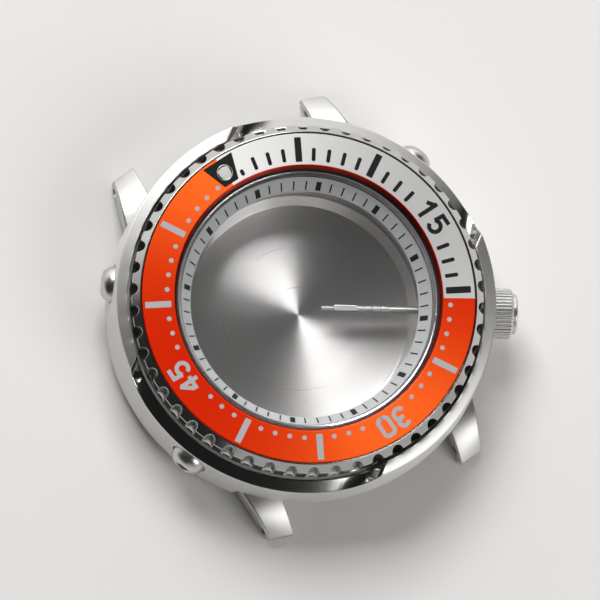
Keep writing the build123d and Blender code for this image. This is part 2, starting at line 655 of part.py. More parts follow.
def make_shroud_screws():
    """Domed screws with a hexagon socket, one in each pocket of the protector ring."""
    head_top = screw_seat + SCREW_HEAD_HEIGHT
    side_top = screw_seat + SCREW_HEAD_SIDE
    tip = screw_seat - SCREW_SHANK_LENGTH
    bulge = ((SCREW_HEAD_RADIUS - SCREW_HEAD_END_RADIUS) ** 2 + (head_top - side_top) ** 2) ** 0.5
    with BuildPart() as screw:
        with BuildSketch(Plane.XZ):
            with BuildLine():
                Polyline(
                    (0, head_top),
                    (0, tip),
                    (SCREW_SHANK_RADIUS, tip),
                    (SCREW_SHANK_RADIUS, screw_seat),
                    (SCREW_HEAD_RADIUS, screw_seat),
                    (SCREW_HEAD_RADIUS, side_top),
                )
                RadiusArc((SCREW_HEAD_RADIUS, side_top), (SCREW_HEAD_END_RADIUS, head_top), -bulge)
                Line((SCREW_HEAD_END_RADIUS, head_top), (0, head_top))
            make_face()
        revolve(axis=Axis.Z)
        with BuildSketch(Plane.XY.offset(head_top)):
            RegularPolygon(SOCKET_ACROSS_FLATS / 2, 6, major_radius=False)
        extrude(amount=-SOCKET_DEPTH, mode=Mode.SUBTRACT)
    return Compound(children=[along(angle, screw_height, screw.part) for angle in SCREW_ANGLES])


# Caseback

def make_caseback():
    """Screw-in back: flange with wrench notches, threaded boss with a gasket groove, thin plate inside."""
    boss_top = CASEBACK_FLANGE_HEIGHT + CASEBACK_BOSS_HEIGHT
    groove_outer_radius = caseback_groove_inner_radius + CASEBACK_GROOVE_WIDTH
    thread_radius = caseback_bore_radius - CASEBACK_THREAD_GAP
    back = turned([
        (0, 0),
        (back_line_radius, 0),
        (back_line_radius, BACK_LINE_DEPTH),
        (back_line_radius + BACK_LINE_WIDTH, BACK_LINE_DEPTH),
        (back_line_radius + BACK_LINE_WIDTH, 0),
        (caseback_flange_radius - CASEBACK_FLANGE_BEVEL, 0),
        (caseback_flange_radius, CASEBACK_FLANGE_BEVEL),
        (caseback_flange_radius, CASEBACK_FLANGE_HEIGHT),
        (thread_radius, CASEBACK_FLANGE_HEIGHT),
        (thread_radius, boss_top),
        (groove_outer_radius, boss_top),
        (groove_outer_radius, boss_top - CASEBACK_GROOVE_DEPTH),
        (caseback_groove_inner_radius, boss_top - CASEBACK_GROOVE_DEPTH),
        (caseback_groove_inner_radius, boss_top),
        (caseback_boss_inner_radius, boss_top),
        (caseback_boss_inner_radius, CASEBACK_PLATE_HEIGHT),
        (0, CASEBACK_PLATE_HEIGHT),
    ])
    half_width = WRENCH_NOTCH_WIDTH / 2
    notch_outline = [
        (-half_width, -CUT_OVERRUN),
        (half_width, -CUT_OVERRUN),
        (half_width, WRENCH_NOTCH_HEIGHT),
        (-half_width, WRENCH_NOTCH_HEIGHT),
    ]
    notch_start = caseback_flange_radius - WRENCH_NOTCH_DEPTH
    notch = prism(outward(0), notch_outline, notch_start, caseback_flange_radius + CUT_OVERRUN)
    return back - spread(WRENCH_NOTCH_COUNT, notch)


def make_caseback_gasket():
    """Ring in the caseback's groove, which meets the seat in the case."""
    groove_floor = CASEBACK_FLANGE_HEIGHT + CASEBACK_BOSS_HEIGHT - CASEBACK_GROOVE_DEPTH
    inner_radius = caseback_groove_inner_radius + SEAT_GAP
    outer_radius = caseback_groove_inner_radius + CASEBACK_GROOVE_WIDTH - SEAT_GAP
    return ring(inner_radius, outer_radius, groove_floor, caseback_seat - SEAT_GAP)


# Crown, tube and stem, each made about Z and laid along the crown axis

def make_crown_tube():
    """Tube pressed into the case, with the outside thread that the crown screws onto."""
    return turned([
        (tube_bore_radius, tube_start),
        (TUBE_RADIUS, tube_start),
        (TUBE_RADIUS, case_radius),
        (tube_thread_radius, case_radius),
        (tube_thread_radius, tube_end),
        (tube_bore_radius, tube_end),
    ])


def make_crown_tube_gasket():
    """Washer under the shoulder of the tube, sunk in the case wall."""
    return ring(TUBE_RADIUS + FIT_GAP, tube_gasket_radius, case_radius - TUBE_GASKET_HEIGHT, case_radius)


def make_crown_cap():
    """Knurled crown with a raised end disc and the cavity that screws over the tube."""
    disc_end = crown_end + CROWN_DISC_HEIGHT
    cap = turned([
        (0, pipe_end),
        (pipe_radius, pipe_end),
        (pipe_radius, crown_floor),
        (crown_cavity_radius, crown_floor),
        (crown_cavity_radius, crown_start),
        (crown_radius, crown_start),
        (crown_radius, crown_end - CROWN_OUTER_CHAMFER),
        (crown_radius - CROWN_OUTER_CHAMFER, crown_end),
        (crown_disc_radius, crown_end),
        (crown_disc_radius, disc_end - CROWN_DISC_CHAMFER),
        (crown_disc_radius - CROWN_DISC_CHAMFER, disc_end),
        (0, disc_end),
    ])
    groove = rod(CROWN_KNURL_RADIUS, crown_start - CUT_OVERRUN, crown_end + CROWN_KNURL_RADIUS)
    return cap - spread(CROWN_KNURL_COUNT, Pos(crown_radius, 0, 0) * groove)


def make_crown_pipe():
    """Pipe pressed into the crown's floor, with a gasket groove outside and a mouth for the washer."""
    groove_start = pipe_start + PIPE_GROOVE_FROM_START
    return turned([
        (0, pipe_bore_end),
        (pipe_bore_radius, pipe_bore_end),
        (pipe_bore_radius, pipe_start + CROWN_WASHER_HEIGHT),
        (pipe_mouth_radius, pipe_start + CROWN_WASHER_HEIGHT),
        (pipe_mouth_radius, pipe_start),
        (pipe_radius, pipe_start),
        (pipe_radius, groove_start),
        (pipe_groove_radius, groove_start),
        (pipe_groove_radius, groove_start + PIPE_GROOVE_WIDTH),
        (pipe_radius, groove_start + PIPE_GROOVE_WIDTH),
        (pipe_radius, pipe_end),
        (0, pipe_end),
    ])


def make_crown_gasket():
    """Ring in the groove of the pipe, which seals it in the tube."""
    groove_start = pipe_start + PIPE_GROOVE_FROM_START
    outer_radius = tube_bore_radius - FIT_GAP
    groove_end = groove_start + PIPE_GROOVE_WIDTH
    return ring(pipe_groove_radius + FIT_GAP, outer_radius, groove_start + FIT_GAP, groove_end - FIT_GAP)


def make_crown_washer():
    """Washer in the mouth of the pipe that keeps the sleeve in."""
    return ring(washer_hole_radius, pipe_mouth_radius, pipe_start, pipe_start + CROWN_WASHER_HEIGHT)


def make_stem_sleeve():
    """Sleeve with a neck through the washer and a threaded hole for the stem."""
    return turned([
        (SLEEVE_HOLE_RADIUS, sleeve_start),
        (SLEEVE_NECK_RADIUS, sleeve_start),
        (SLEEVE_NECK_RADIUS, sleeve_body_start),
        (sleeve_radius, sleeve_body_start),
        (sleeve_radius, sleeve_end),
        (0, sleeve_end),
        (0, sleeve_start + SLEEVE_HOLE_DEPTH),
        (SLEEVE_HOLE_RADIUS, sleeve_start + SLEEVE_HOLE_DEPTH),
    ])


def make_crown_spring():
    """Coil spring between the sleeve and the blind end of the pipe, as one unbroken wire."""
    coil_radius = sleeve_radius - SPRING_WIRE_RADIUS
    start = sleeve_end + SPRING_WIRE_RADIUS + FIT_GAP
    length = pipe_bore_end - SPRING_WIRE_RADIUS - FIT_GAP - start
    quarter_turns = 4 * SPRING_TURNS

    def on_helix(quarters):
        angle = math.pi / 2 * quarters
        height = start + length * quarters / quarter_turns
        return (coil_radius * math.cos(angle), coil_radius * math.sin(angle), height)

    arcs = [
        ThreePointArc(on_helix(quarter), on_helix(quarter + 0.5), on_helix(quarter + 1))
        for quarter in range(quarter_turns)
    ]
    wire = Wire(arcs)
    pitch = length / SPRING_TURNS
    print("crown spring, least gap between turns:", round(pitch - 2 * SPRING_WIRE_RADIUS, 3))
    section = Plane(origin=wire @ 0, z_dir=wire % 0) * Circle(SPRING_WIRE_RADIUS)
    return sweep(section, path=wire)


def make_winding_stem():
    """Turned stem: pivot, square, waist, collar, groove, land, shaft, bearing and thread."""
    steps = [
        (STEM_PIVOT_LENGTH + STEM_SQUARE_LENGTH, STEM_PIVOT_RADIUS),
        (STEM_WAIST_LENGTH, STEM_WAIST_RADIUS),
        (STEM_COLLAR_LENGTH, STEM_COLLAR_RADIUS),
        (STEM_GROOVE_LENGTH, STEM_GROOVE_RADIUS),
        (STEM_LAND_LENGTH, STEM_LAND_RADIUS),
        (STEM_SHAFT_LENGTH, STEM_SHAFT_RADIUS),
        (STEM_BEARING_LENGTH, STEM_BEARING_RADIUS),
    ]
    outline = [(0, STEM_TIP)]
    height = STEM_TIP
    for length, radius in steps:
        outline.append((radius, height))
        height += length
        outline.append((radius, height))
    thread_end = sleeve_start + STEM_THREAD_IN_SLEEVE
    outline += [(stem_thread_radius, height), (stem_thread_radius, thread_end), (0, thread_end)]
    stem = turned(outline)
    square_start = STEM_TIP + STEM_PIVOT_LENGTH
    square = extrude(Plane.XY.offset(square_start) * Rectangle(STEM_SQUARE_WIDTH, STEM_SQUARE_WIDTH),
                     amount=STEM_SQUARE_LENGTH)
    return stem + square


def on_crown_axis(solid):
    """Crown-group solid made about Z, laid along the crown axis."""
    return along(CROWN_ANGLE, crown_height, solid)


pieces = {
    "mid_case": make_mid_case(),
    "crystal": make_crystal(),
    "crystal_gasket": make_crystal_gasket(),
    "chapter_ring": make_chapter_ring(),
    "bezel": make_bezel(),
    "bezel_insert": make_bezel_insert(),
    "insert_adhesive": make_insert_adhesive(),
    "pip_cup": make_pip_cup(),
    "lume_pip": make_lume_pip(),
    "bezel_gasket": make_bezel_gasket(),
    "click_spring": make_click_spring(),
    "click_spring_pins": make_click_spring_pins(),
    "shroud": make_shroud(),
    "shroud_screws": make_shroud_screws(),
    "caseback": make_caseback(),
    "caseback_gasket": make_caseback_gasket(),
    "crown_tube": on_crown_axis(make_crown_tube()),
    "crown_tube_gasket": on_crown_axis(make_crown_tube_gasket()),
    "crown_cap": on_crown_axis(make_crown_cap()),
    "crown_pipe": on_crown_axis(make_crown_pipe()),
    "crown_gasket": on_crown_axis(make_crown_gasket()),
    "crown_washer": on_crown_axis(make_crown_washer()),
    "stem_sleeve": on_crown_axis(make_stem_sleeve()),
    "crown_spring": on_crown_axis(make_crown_spring()),
    "winding_stem": on_crown_axis(make_winding_stem()),
}

os.makedirs("parts", exist_ok=True)
for name, piece in pieces.items():
    export_step(piece, f"parts/{name}.step")
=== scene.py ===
import math

import bmesh
import bpy
import numpy as np
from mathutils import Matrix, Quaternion, Vector


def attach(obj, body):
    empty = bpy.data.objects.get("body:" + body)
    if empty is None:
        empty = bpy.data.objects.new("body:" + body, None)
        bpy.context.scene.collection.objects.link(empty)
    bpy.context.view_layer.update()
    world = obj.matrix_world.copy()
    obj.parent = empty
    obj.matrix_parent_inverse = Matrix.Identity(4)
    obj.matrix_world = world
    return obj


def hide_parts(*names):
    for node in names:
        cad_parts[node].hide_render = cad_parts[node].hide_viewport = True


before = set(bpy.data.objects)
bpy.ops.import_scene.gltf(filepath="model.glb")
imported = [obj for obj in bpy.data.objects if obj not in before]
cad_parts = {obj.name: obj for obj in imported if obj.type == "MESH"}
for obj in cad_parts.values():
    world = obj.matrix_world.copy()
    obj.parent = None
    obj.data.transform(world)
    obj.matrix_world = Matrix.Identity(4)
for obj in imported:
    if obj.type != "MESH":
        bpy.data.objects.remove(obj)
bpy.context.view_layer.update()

# Sizes are in millimetres until a mesh is made. +Z points out through the crystal, +Y to 12 o'clock
# and +X to 3 o'clock. Clock angles are degrees clockwise from 12.


# Camera. A long lens from far above, tilted a little from the watch's axis, and turned so that
# 12 o'clock points to the upper left.

camera = bpy.data.objects.new("camera", bpy.data.cameras.new("camera"))
bpy.context.scene.collection.objects.link(camera)
camera.location = (-0.16669142, -0.11465139, 0.88424167)
camera.rotation_mode = "QUATERNION"
camera.rotation_quaternion = Quaternion((0.97341210, 0.08197169, -0.07837754, -0.19901381))
camera.data.lens = 454.656
camera.data.sensor_width = 36.0
camera.data.clip_start = 0.01
bpy.context.scene.camera = camera
bpy.context.scene.view_settings.view_transform = "Standard"


# Studio. A matt pale floor, a soft box over the 12 o'clock side and a weaker one across from it, under
# a dark ceiling. The walls are pale, with a bright window at 12 o'clock and a dark screen at 9 o'clock.

class Shade:
    """A socket in a node tree. Arithmetic on it adds Math nodes, and node() adds any other node."""

    def __init__(self, tree, socket=None):
        self.tree, self.socket = tree, socket

    def node(self, kind, settings, inputs, output=0):
        """Adds a node of a type, gives it its settings, then the values or links of its sockets."""
        made = self.tree.nodes.new("ShaderNode" + kind)
        for key, value in settings.items():
            setattr(made, key, value)
        for key, value in inputs.items():
            if isinstance(value, Shade):
                self.tree.links.new(value.socket, made.inputs[key])
            else:
                made.inputs[key].default_value = value
        return Shade(self.tree, made.outputs[output])

    def maths(self, operation, *values):
        return self.node("Math", {"operation": operation}, dict(enumerate(values)))

    def __add__(self, other):
        return self.maths("ADD", self, other)

    def __rsub__(self, other):
        return self.maths("SUBTRACT", other, self)

    def __mul__(self, other):
        return self.maths("MULTIPLY", self, other)

    def __truediv__(self, other):
        return self.maths("DIVIDE", self, other)

    __radd__ = __add__
    __rmul__ = __mul__

    def rise(self, low, high):
        """0 below low, 1 above high and smooth between."""
        return self.node("MapRange", {"interpolation_type": "SMOOTHSTEP"}, {0: self, 1: low, 2: high})

    def part(self, output):
        """Another output of the same node."""
        return Shade(self.tree, self.socket.node.outputs[output])

    def blend(self, factor, low, high):
        """Colour between two colours."""
        return self.node("Mix", {"data_type": "RGBA"}, {0: factor, 6: low, 7: high}, 2)

    def place(self):
        """The point that is shaded, in metres."""
        return self.node("TexCoord", {}, {}, 3)

    def noise(self, scale, detail):
        """Cloudy noise over a piece."""
        return self.node("TexNoise", {}, {0: self.place(), "Scale": scale, "Detail": detail})

    def bump(self, strength, distance):
        """Normal of a surface that has this socket as its height."""
        return self.node("Bump", {}, {"Strength": strength, "Distance": distance, "Height": self})


world = bpy.data.worlds.new("studio")
bpy.context.scene.world = world
world.use_nodes = True
sky = Shade(world.node_tree)
way = sky.node("SeparateXYZ", {}, {0: sky.node("TexCoord", {}, {})})


def toward(x, y):
    """How far a direction in the sky points along a level one."""
    return way.part("X") * x + way.part("Y") * y


wall = 1 - way.part("Z").rise(0.12, 0.55)
window = toward(0.25, 0.97).rise(0.4, 0.95) * (1 - way.part("Z").rise(0.45, 0.62))
screen = toward(-0.998, -0.063).rise(0.72, 0.84)
ceiling_glow, wall_glow, window_glow, screen_share, blue_share = 0.015, 0.5, 1.05, 0.95, 0.98
glow = (ceiling_glow + wall_glow * wall + window_glow * window) * (1 - screen_share * screen)
background = world.node_tree.nodes["Background"]
world.node_tree.links.new(sky.node("CombineColor", {}, {0: glow, 1: glow, 2: glow * blue_share}).socket,
                          background.inputs["Color"])
background.inputs["Strength"].default_value = 1.0


def soft_box(name, place, size, power):
    """Rectangular lamp that faces the watch."""
    lamp = bpy.data.objects.new(name, bpy.data.lights.new(name, "AREA"))
    lamp.data.shape, lamp.data.size, lamp.data.size_y = "RECTANGLE", size[0], size[1]
    lamp.data.energy = power
    lamp.location = place
    lamp.rotation_mode = "QUATERNION"
    lamp.rotation_quaternion = Vector(place).to_track_quat("Z", "Y")
    bpy.context.scene.collection.objects.link(lamp)


soft_box("soft_box_12", (0.05, 0.44, 0.54), (0.36, 0.32), 4.1)
soft_box("soft_box_6", (0.20, -0.50, 0.45), (0.40, 0.36), 1.9)

floor_half, floor_height = 2.0, -2e-5
floor_mesh = bpy.data.meshes.new("floor")
floor_mesh.from_pydata([(x * floor_half, y * floor_half, floor_height)
                        for x, y in ((-1, -1), (1, -1), (1, 1), (-1, 1))], [], [(0, 1, 2, 3)])
floor = bpy.data.objects.new("floor", floor_mesh)
bpy.context.scene.collection.objects.link(floor)


def finish(name, constants):
    """New material with constants on its Principled shader. Returns it, a Shade for its nodes and a way
    to link them to the shader."""
    material = bpy.data.materials.new(name)
    material.use_nodes = True
    shader = material.node_tree.nodes["Principled BSDF"]
    for socket, value in constants.items():
        shader.inputs[socket].default_value = value

    def feed(socket, shade):
        material.node_tree.links.new(shade.socket, shader.inputs[socket])

    return material, Shade(material.node_tree), feed


def greyed(grey, tint=(1.0, 1.0, 1.0)):
    return (grey * tint[0], grey * tint[1], grey * tint[2], 1.0)


floor_tint = (1.0, 0.985, 0.96)
floor_paint, nodes, feed = finish("floor_paint", {"Roughness": 0.9, "Specular IOR Level": 0.2})
feed("Base Color", nodes.blend(nodes.noise(6.0, 2.0), greyed(0.80, floor_tint), greyed(0.84, floor_tint)))
floor_mesh.materials.append(floor_paint)


# Case middle. One turned steel body with a neck for the crystal and four lugs, each drilled for a
# spring bar. It is turned and milled from bar, and satin finished.

def eased(outline, cut, steps=3, closed=True):
    """Outline with eased corners. Each corner gives way to a parabola that leaves one side a cut before
    the corner and meets the next side a cut after it, and a guard point stands just beyond each end. A
    cut takes at most a fixed share of the shorter side."""
    most, guard = 0.42, 1.18
    corner = np.asarray(outline, float)
    before = np.roll(corner, 1, axis=-2) - corner
    after = np.roll(corner, -1, axis=-2) - corner
    before_length = np.linalg.norm(before, axis=-1, keepdims=True)
    after_length = np.linalg.norm(after, axis=-1, keepdims=True)
    cut = np.broadcast_to(np.asarray(cut, float), corner.shape[:-1])[..., None]
    cut = np.minimum(cut, most * np.minimum(before_length, after_length))
    start = corner + before / before_length * cut
    end = corner + after / after_length * cut
    share = np.linspace(0, 1, steps + 1)[:, None]
    bend = ((1 - share) ** 2 * start[..., None, :] + 2 * share * (1 - share) * corner[..., None, :]
            + share ** 2 * end[..., None, :])
    guard_before = (corner + before / before_length * cut * guard)[..., None, :]
    guard_after = (corner + after / after_length * cut * guard)[..., None, :]
    points = np.concatenate([guard_before, bend, guard_after], axis=-2)
    if not closed:
        first, last = corner[..., :1, :], corner[..., -1:, :]
        points = points[..., 1:-1, :, :]
        return np.concatenate([first, points.reshape(*corner.shape[:-2], -1, 2), last], axis=-2)
    return points.reshape(*corner.shape[:-2], -1, 2)


def turned(outline, angle=None):
    """Outline points (radius, height) carried round the axis: x is radius times the sine of the clock
    angle and y times its cosine. The outline may be one for all angles or one for each."""
    if angle is None:
        angle = np.linspace(0, 360, 240, endpoint=False)
    turn = np.radians(angle)[:, None]
    radius, height = np.broadcast_to(outline, (len(angle),) + outline.shape[-2:]).transpose(2, 0, 1)
    return np.stack([radius * np.sin(turn), radius * np.cos(turn), height], axis=-1)


def make_piece(name, body, shells, finishes, replaces=(), sharp=38):
    """Piece made of shells. A shell is a grid of points, whether it closes across and along, and the
    number of its finish, for the whole shell or cell by cell. Its doubles are merged."""
    points, cells, marks, count = [], [], [], 0
    for grid, closed_across, closed_along, mark in shells:
        across, along = grid.shape[:2]
        i = np.arange(across if closed_across else across - 1)[:, None]
        j = np.arange(along if closed_along else along - 1)[None, :]
        next_i, next_j = (i + 1) % across, (j + 1) % along
        corners = np.stack(np.broadcast_arrays(
            i * along + j, next_i * along + j, next_i * along + next_j, i * along + next_j), axis=-1)
        points.append(grid.reshape(-1, 3))
        cells.append(corners.reshape(-1, 4) + count)
        marks.append(np.broadcast_to(mark, corners.shape[:2]).ravel())
        count += across * along
    metres = 0.001
    points, cells, marks = np.concatenate(points) * metres, np.concatenate(cells), np.concatenate(marks)
    mesh = bpy.data.meshes.new(name)
    mesh.vertices.add(len(points))
    mesh.vertices.foreach_set("co", points.ravel())
    mesh.loops.add(cells.size)
    mesh.loops.foreach_set("vertex_index", cells.ravel())
    mesh.polygons.add(len(cells))
    mesh.polygons.foreach_set("loop_start", np.arange(len(cells)) * 4)
    mesh.polygons.foreach_set("material_index", marks)
    mesh.update(calc_edges=True)
    for material in finishes:
        mesh.materials.append(material)
    piece = bpy.data.objects.new(name, mesh)
    bpy.context.scene.collection.objects.link(piece)
    clean(piece, sharp)
    if body:
        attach(piece, body)
        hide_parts(*replaces)
    return piece


def clean(piece, sharp=38):
    """Merges doubles, turns every face outwards and keeps edges over an angle sharp."""
    work = bmesh.new()
    work.from_mesh(piece.data)
    bmesh.ops.remove_doubles(work, verts=work.verts, dist=2e-8)
    bmesh.ops.dissolve_degenerate(work, edges=work.edges, dist=1e-9)
    bmesh.ops.recalc_face_normals(work, faces=work.faces)
    work.to_mesh(piece.data)
    work.free()
    piece.data.shade_smooth()
    piece.data.set_sharp_from_angle(angle=math.radians(sharp))


def laid_out(grid, clock_angle, height):
    """Points made about Z, laid down so that their Z runs out from the axis along a clock angle."""
    turn = math.radians(clock_angle)
    out = np.array([math.sin(turn), math.cos(turn), 0.0])
    side = np.array([-math.cos(turn), math.sin(turn), 0.0])
    up = np.array([0, 0, 1.0])
    return grid[..., :1] * side + grid[..., 1:2] * up + grid[..., 2:] * out + height * up


def bored(piece, drills):
    """Takes the drills' shapes out of a piece, and throws the drills away."""
    for drill in drills:
        cut = piece.modifiers.new("bore", "BOOLEAN")
        cut.object, cut.operation, cut.solver = drill, "DIFFERENCE", "EXACT"
    graph = bpy.context.evaluated_depsgraph_get()
    mesh = bpy.data.meshes.new_from_object(piece.evaluated_get(graph))
    piece.modifiers.clear()
    old = piece.data
    piece.data = mesh
    mesh.name = piece.name
    bpy.data.meshes.remove(old)
    for drill in drills:
        bpy.data.objects.remove(drill)
    clean(piece)


def drill_shape(outline, clock_angle, height, count=64):
    """Closed drill of (radius, distance) points, laid out along a clock angle."""
    grid = turned(np.array(outline, float), np.linspace(0, 360, count, endpoint=False))
    return make_piece("drill", None, [(laid_out(grid, clock_angle, height), True, False, 0)], [])


def round_lines(nodes, spacing, wander):
    """Noise drawn out into lines round the axis: it changes each spacing in radius and height, and only
    slowly with the direction from the axis."""
    place = nodes.node("SeparateXYZ", {}, {0: nodes.place()})
    x, y, z = place.part("X"), place.part("Y"), place.part("Z")
    never_zero = 1e-10
    radius = nodes.maths("SQRT", x * x + y * y + never_zero)
    step = 1000.0 / spacing
    vector = nodes.node("CombineXYZ", {}, {0: radius * step, 1: x / radius * wander, 2: y / radius * wander})
    return nodes.node("TexNoise", {"noise_dimensions": "4D"},
                      {"Vector": vector, "W": z * step, "Scale": 1.0, "Detail": 3.0, "Roughness": 0.6})


def long_lines(nodes, spacing):
    """Noise drawn out into straight lines that run along X."""
    step, stretch = 1000.0 / spacing, 0.03
    place = nodes.node("Mapping", {}, {0: nodes.place(), 3: (step * stretch, step, step)})
    return nodes.node("TexNoise", {}, {0: place, "Scale": 1.0, "Detail": 3.0, "Roughness": 0.6})


def steel(name, grey, rough, lines=0.12, depth=0.15, anisotropic=0.0, straight=False, wander=3.0,
          patchy=0.4):
    """Steel with tool lines, round the axis or straight. The lines vary its colour and roughness a
    little and stand in its bump."""
    tint = (1.0, 0.985, 0.965)
    material, nodes, feed = finish(name, {"Metallic": 1.0, "Anisotropic": anisotropic,
                                          "Anisotropic Rotation": 0.25 if anisotropic else 0.0})
    streaks = long_lines(nodes, lines) if straight else round_lines(nodes, lines, wander)
    patches = nodes.noise(260.0, 3.0)
    dark, light = greyed(grey * 0.9, tint), greyed(grey * 1.06, tint)
    feed("Base Color", nodes.blend(streaks * 0.6 + patches * patchy, dark, light))
    feed("Roughness", rough * (0.8 + 0.25 * streaks + patches * patchy * 0.4))
    feed("Normal", streaks.bump(depth, 2e-5))
    return material


bored_steel = steel("bored_steel", 0.68, 0.40, lines=0.2)
lug_steel = steel("lug_steel", 0.58, 0.44, lines=0.1, depth=0.08, straight=True)

dial_seat, seal_shelf, neck_top = 8.45, 10.5, 11.8
middle_outline = eased([
    (17.4, 1.3), (19.79, 1.3), (20.89, 2.4), (20.89, 4.4), (21.19, 4.7), (21.19, 9.2), (17.5, 9.2),
    (17.5, 10.85), (18.0, 10.85), (18.0, 11.4), (17.6, neck_top), (16.25, neck_top), (16.25, seal_shelf),
    (15.45, seal_shelf), (15.45, dial_seat), (14.6, dial_seat), (14.6, 5.9), (14.4, 5.9), (14.4, 3.4),
    (17.4, 3.4)], 0.06)
case_middle = make_piece("case_middle", "case", [(turned(middle_outline), True, True, 0)],
                         [bored_steel], ["mid_case"])
crown_angle, crown_height = 114.0, 6.5
screw_angles, screw_height = (60.0, 240.0, 300.0), 6.1
drills = [drill_shape([(0, 13.4), (1.6, 13.4), (1.6, 15.6), (2.13, 15.6), (2.13, 20.89), (2.48, 20.89),
                       (2.48, 22.2), (0, 22.2)], crown_angle, crown_height)]
drills += [drill_shape([(0, 18.44), (1.03, 18.44), (1.03, 22.2), (0, 22.2)], angle, screw_height, 32)
           for angle in screw_angles]
bored(case_middle, drills)

lug_start, lug_tip, lug_bottom, lug_top = 12.0, 24.1, 0.35, 4.0
inner_cheek, outer_cheek, outer_taper = 11.0, 16.0, 1.95
fall_start, tip_round, tip_slant = 18.5, 0.32, 0.7
fall = np.linspace(fall_start, 23.85, 16)
fall_line = np.stack([fall, lug_top - 0.075 * (fall - fall_start) ** 2], axis=1)
tip_turn = np.radians(np.linspace(20, 90, 6))
tip_line = np.stack([23.78 + tip_round * np.sin(tip_turn),
                     fall_line[-1, 1] - tip_round * (1 - np.cos(tip_turn)) - 0.04], axis=1)
under_line = np.array([
    (lug_tip, 1.2), (lug_tip, 0.60), (24.02, 0.42), (23.85, lug_bottom), (20.0, lug_bottom),
    (16.0, lug_bottom), (lug_start, lug_bottom), (lug_start, 2.0), (lug_start, lug_top), (15.0, lug_top),
    (17.0, lug_top)])
lug_side = np.vstack([fall_line, tip_line[1:], under_line])


def lug(left, low):
    """Side view of a lug in stations across it, from its inner cheek to its outer one, which runs
    inwards towards the tip. Near each cheek the view shrinks along a quarter circle, so that the edges
    are round, and a last station at its middle closes it. The tip is then drawn back in proportion to
    the distance from the inner cheek, so it runs slantwise."""
    count = len(lug_side)
    along = np.roll(lug_side, -1, axis=0) - np.roll(lug_side, 1, axis=0)
    inwards = np.stack([along[:, 1], -along[:, 0]], axis=1) / np.linalg.norm(along, axis=1, keepdims=True)
    middle = lug_side.mean(axis=0)
    inner_round, outer_round = 0.14, np.where(lug_side[:, 1] > 1.2, 0.34, 0.16)

    def cheek(reach):
        return outer_cheek - (reach - lug_start) * outer_taper / (lug_tip - lug_start)

    def station(side, view):
        return np.column_stack([np.broadcast_to(side, count), np.broadcast_to(view, (count, 2))])

    stations = [station(inner_cheek, middle)]
    for turn in np.radians([0, 30, 60, 90]):
        stations.append(station(inner_cheek + inner_round * (1 - math.cos(turn)),
                                lug_side + inwards * inner_round * (1 - math.sin(turn))))
    for turn in np.radians([0, 15, 30, 45, 60, 75, 90]):
        stations.append(station(cheek(lug_side[:, 0]) - outer_round * (1 - math.sin(turn)),
                                lug_side + inwards * (outer_round * (1 - math.cos(turn)))[:, None]))
    stations.append(station(cheek(middle[0]), middle))
    grid = np.stack(stations)
    out = np.clip((grid[..., 1] - fall_start) / (lug_tip - fall_start), 0, 1)
    grid[..., 1] -= tip_slant * out * (grid[..., 0] - inner_cheek) / (outer_cheek - outer_taper - inner_cheek)
    return grid * np.array([-1 if left else 1, -1 if low else 1, 1])


lugs = make_piece("lugs", "case",
                  [(lug(left, low), False, True, 0) for left in (0, 1) for low in (0, 1)],
                  [lug_steel], ["mid_case"])
bar_radius, bar_end, bar_reach, bar_height = 0.6, 17.0, 22.1, 1.3
bar_outline = np.array([(0, -bar_end), (bar_radius, -bar_end), (bar_radius, bar_end), (0, bar_end)])
bar_drill = turned(bar_outline, np.arange(0, 360, 9.0))[..., [2, 0, 1]]
bored(lugs, [make_piece("drill", None, [(bar_drill + [0, y, bar_height], True, False, 0)], [])
             for y in (-bar_reach, bar_reach)])


# Crown tube, with its thread, pressed into the case over a rubber washer. Both are mostly hidden by
# the crown, and show when it is pulled out.

def dress(material, *names):
    """Gives CAD nodes a finish."""
    for name in names:
        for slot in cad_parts[name].material_slots:
            slot.material = material


def rubber(name, grey, tint=(1.0, 0.97, 1.0)):
    """Sealing rubber with a faint bloom."""
    material, nodes, feed = finish(name, {"Specular IOR Level": 0.4})
    bloom = nodes.noise(900.0, 4.0)
    feed("Base Color", nodes.blend(bloom, greyed(grey * 0.7, tint), greyed(grey * 1.4, tint)))
    feed("Roughness", 0.42 + 0.2 * bloom)
    feed("Normal", bloom.bump(0.1, 1e-5))
    return material


def threaded(name, grey, rough, pitch, axis_angle):
    """Steel whose bump is a screw thread: a wave along the crown's axis. Its colour darkens into the thread's
    roots as painted shade.
    """
    material, nodes, feed = finish(name, {"Metallic": 1.0})
    turn = math.radians(axis_angle)
    place = nodes.node("SeparateXYZ", {}, {0: nodes.place()})
    along = place.part("X") * math.sin(turn) + place.part("Y") * math.cos(turn)
    wave = nodes.maths("SINE", along * (2 * math.pi * 1000.0 / pitch)) * 0.5 + 0.5
    # Colour is darker in the thread's roots: painted shade.
    feed("Base Color", nodes.blend(wave, greyed(grey * 0.75), greyed(grey)))
    feed("Roughness", rough + 0.1 * wave)
    feed("Normal", wave.bump(0.5, 8e-5))
    return material


dress(threaded("tube_steel", 0.6, 0.2, 0.25, crown_angle), "crown_tube")
dress(rubber("seal_rubber", 0.02), "crown_tube_gasket")


# Chapter ring. A sloping painted ring that stands on the dial seat, printed with sixty black marks,
# every fifth one bold.

def shades(colour, dark, light):
    """A colour times two factors, with alpha."""
    return [tuple(min(c * factor, 1.0) for c in colour) + (1.0,) for factor in (dark, light)]


def paint(name, colour, rough, speckle=0.06, grain=0.05, shine=0.5):
    """Paint with a fine speckle in its colour and bump."""
    material, nodes, feed = finish(name, {"Specular IOR Level": shine})
    speck = nodes.noise(9000.0, 2.0)
    feed("Base Color", nodes.blend(speck, *shades(colour, 1 - speckle, 1 + speckle)))
    feed("Roughness", rough + 0.1 * speck)
    feed("Normal", speck.bump(grain, 1e-5))
    return material


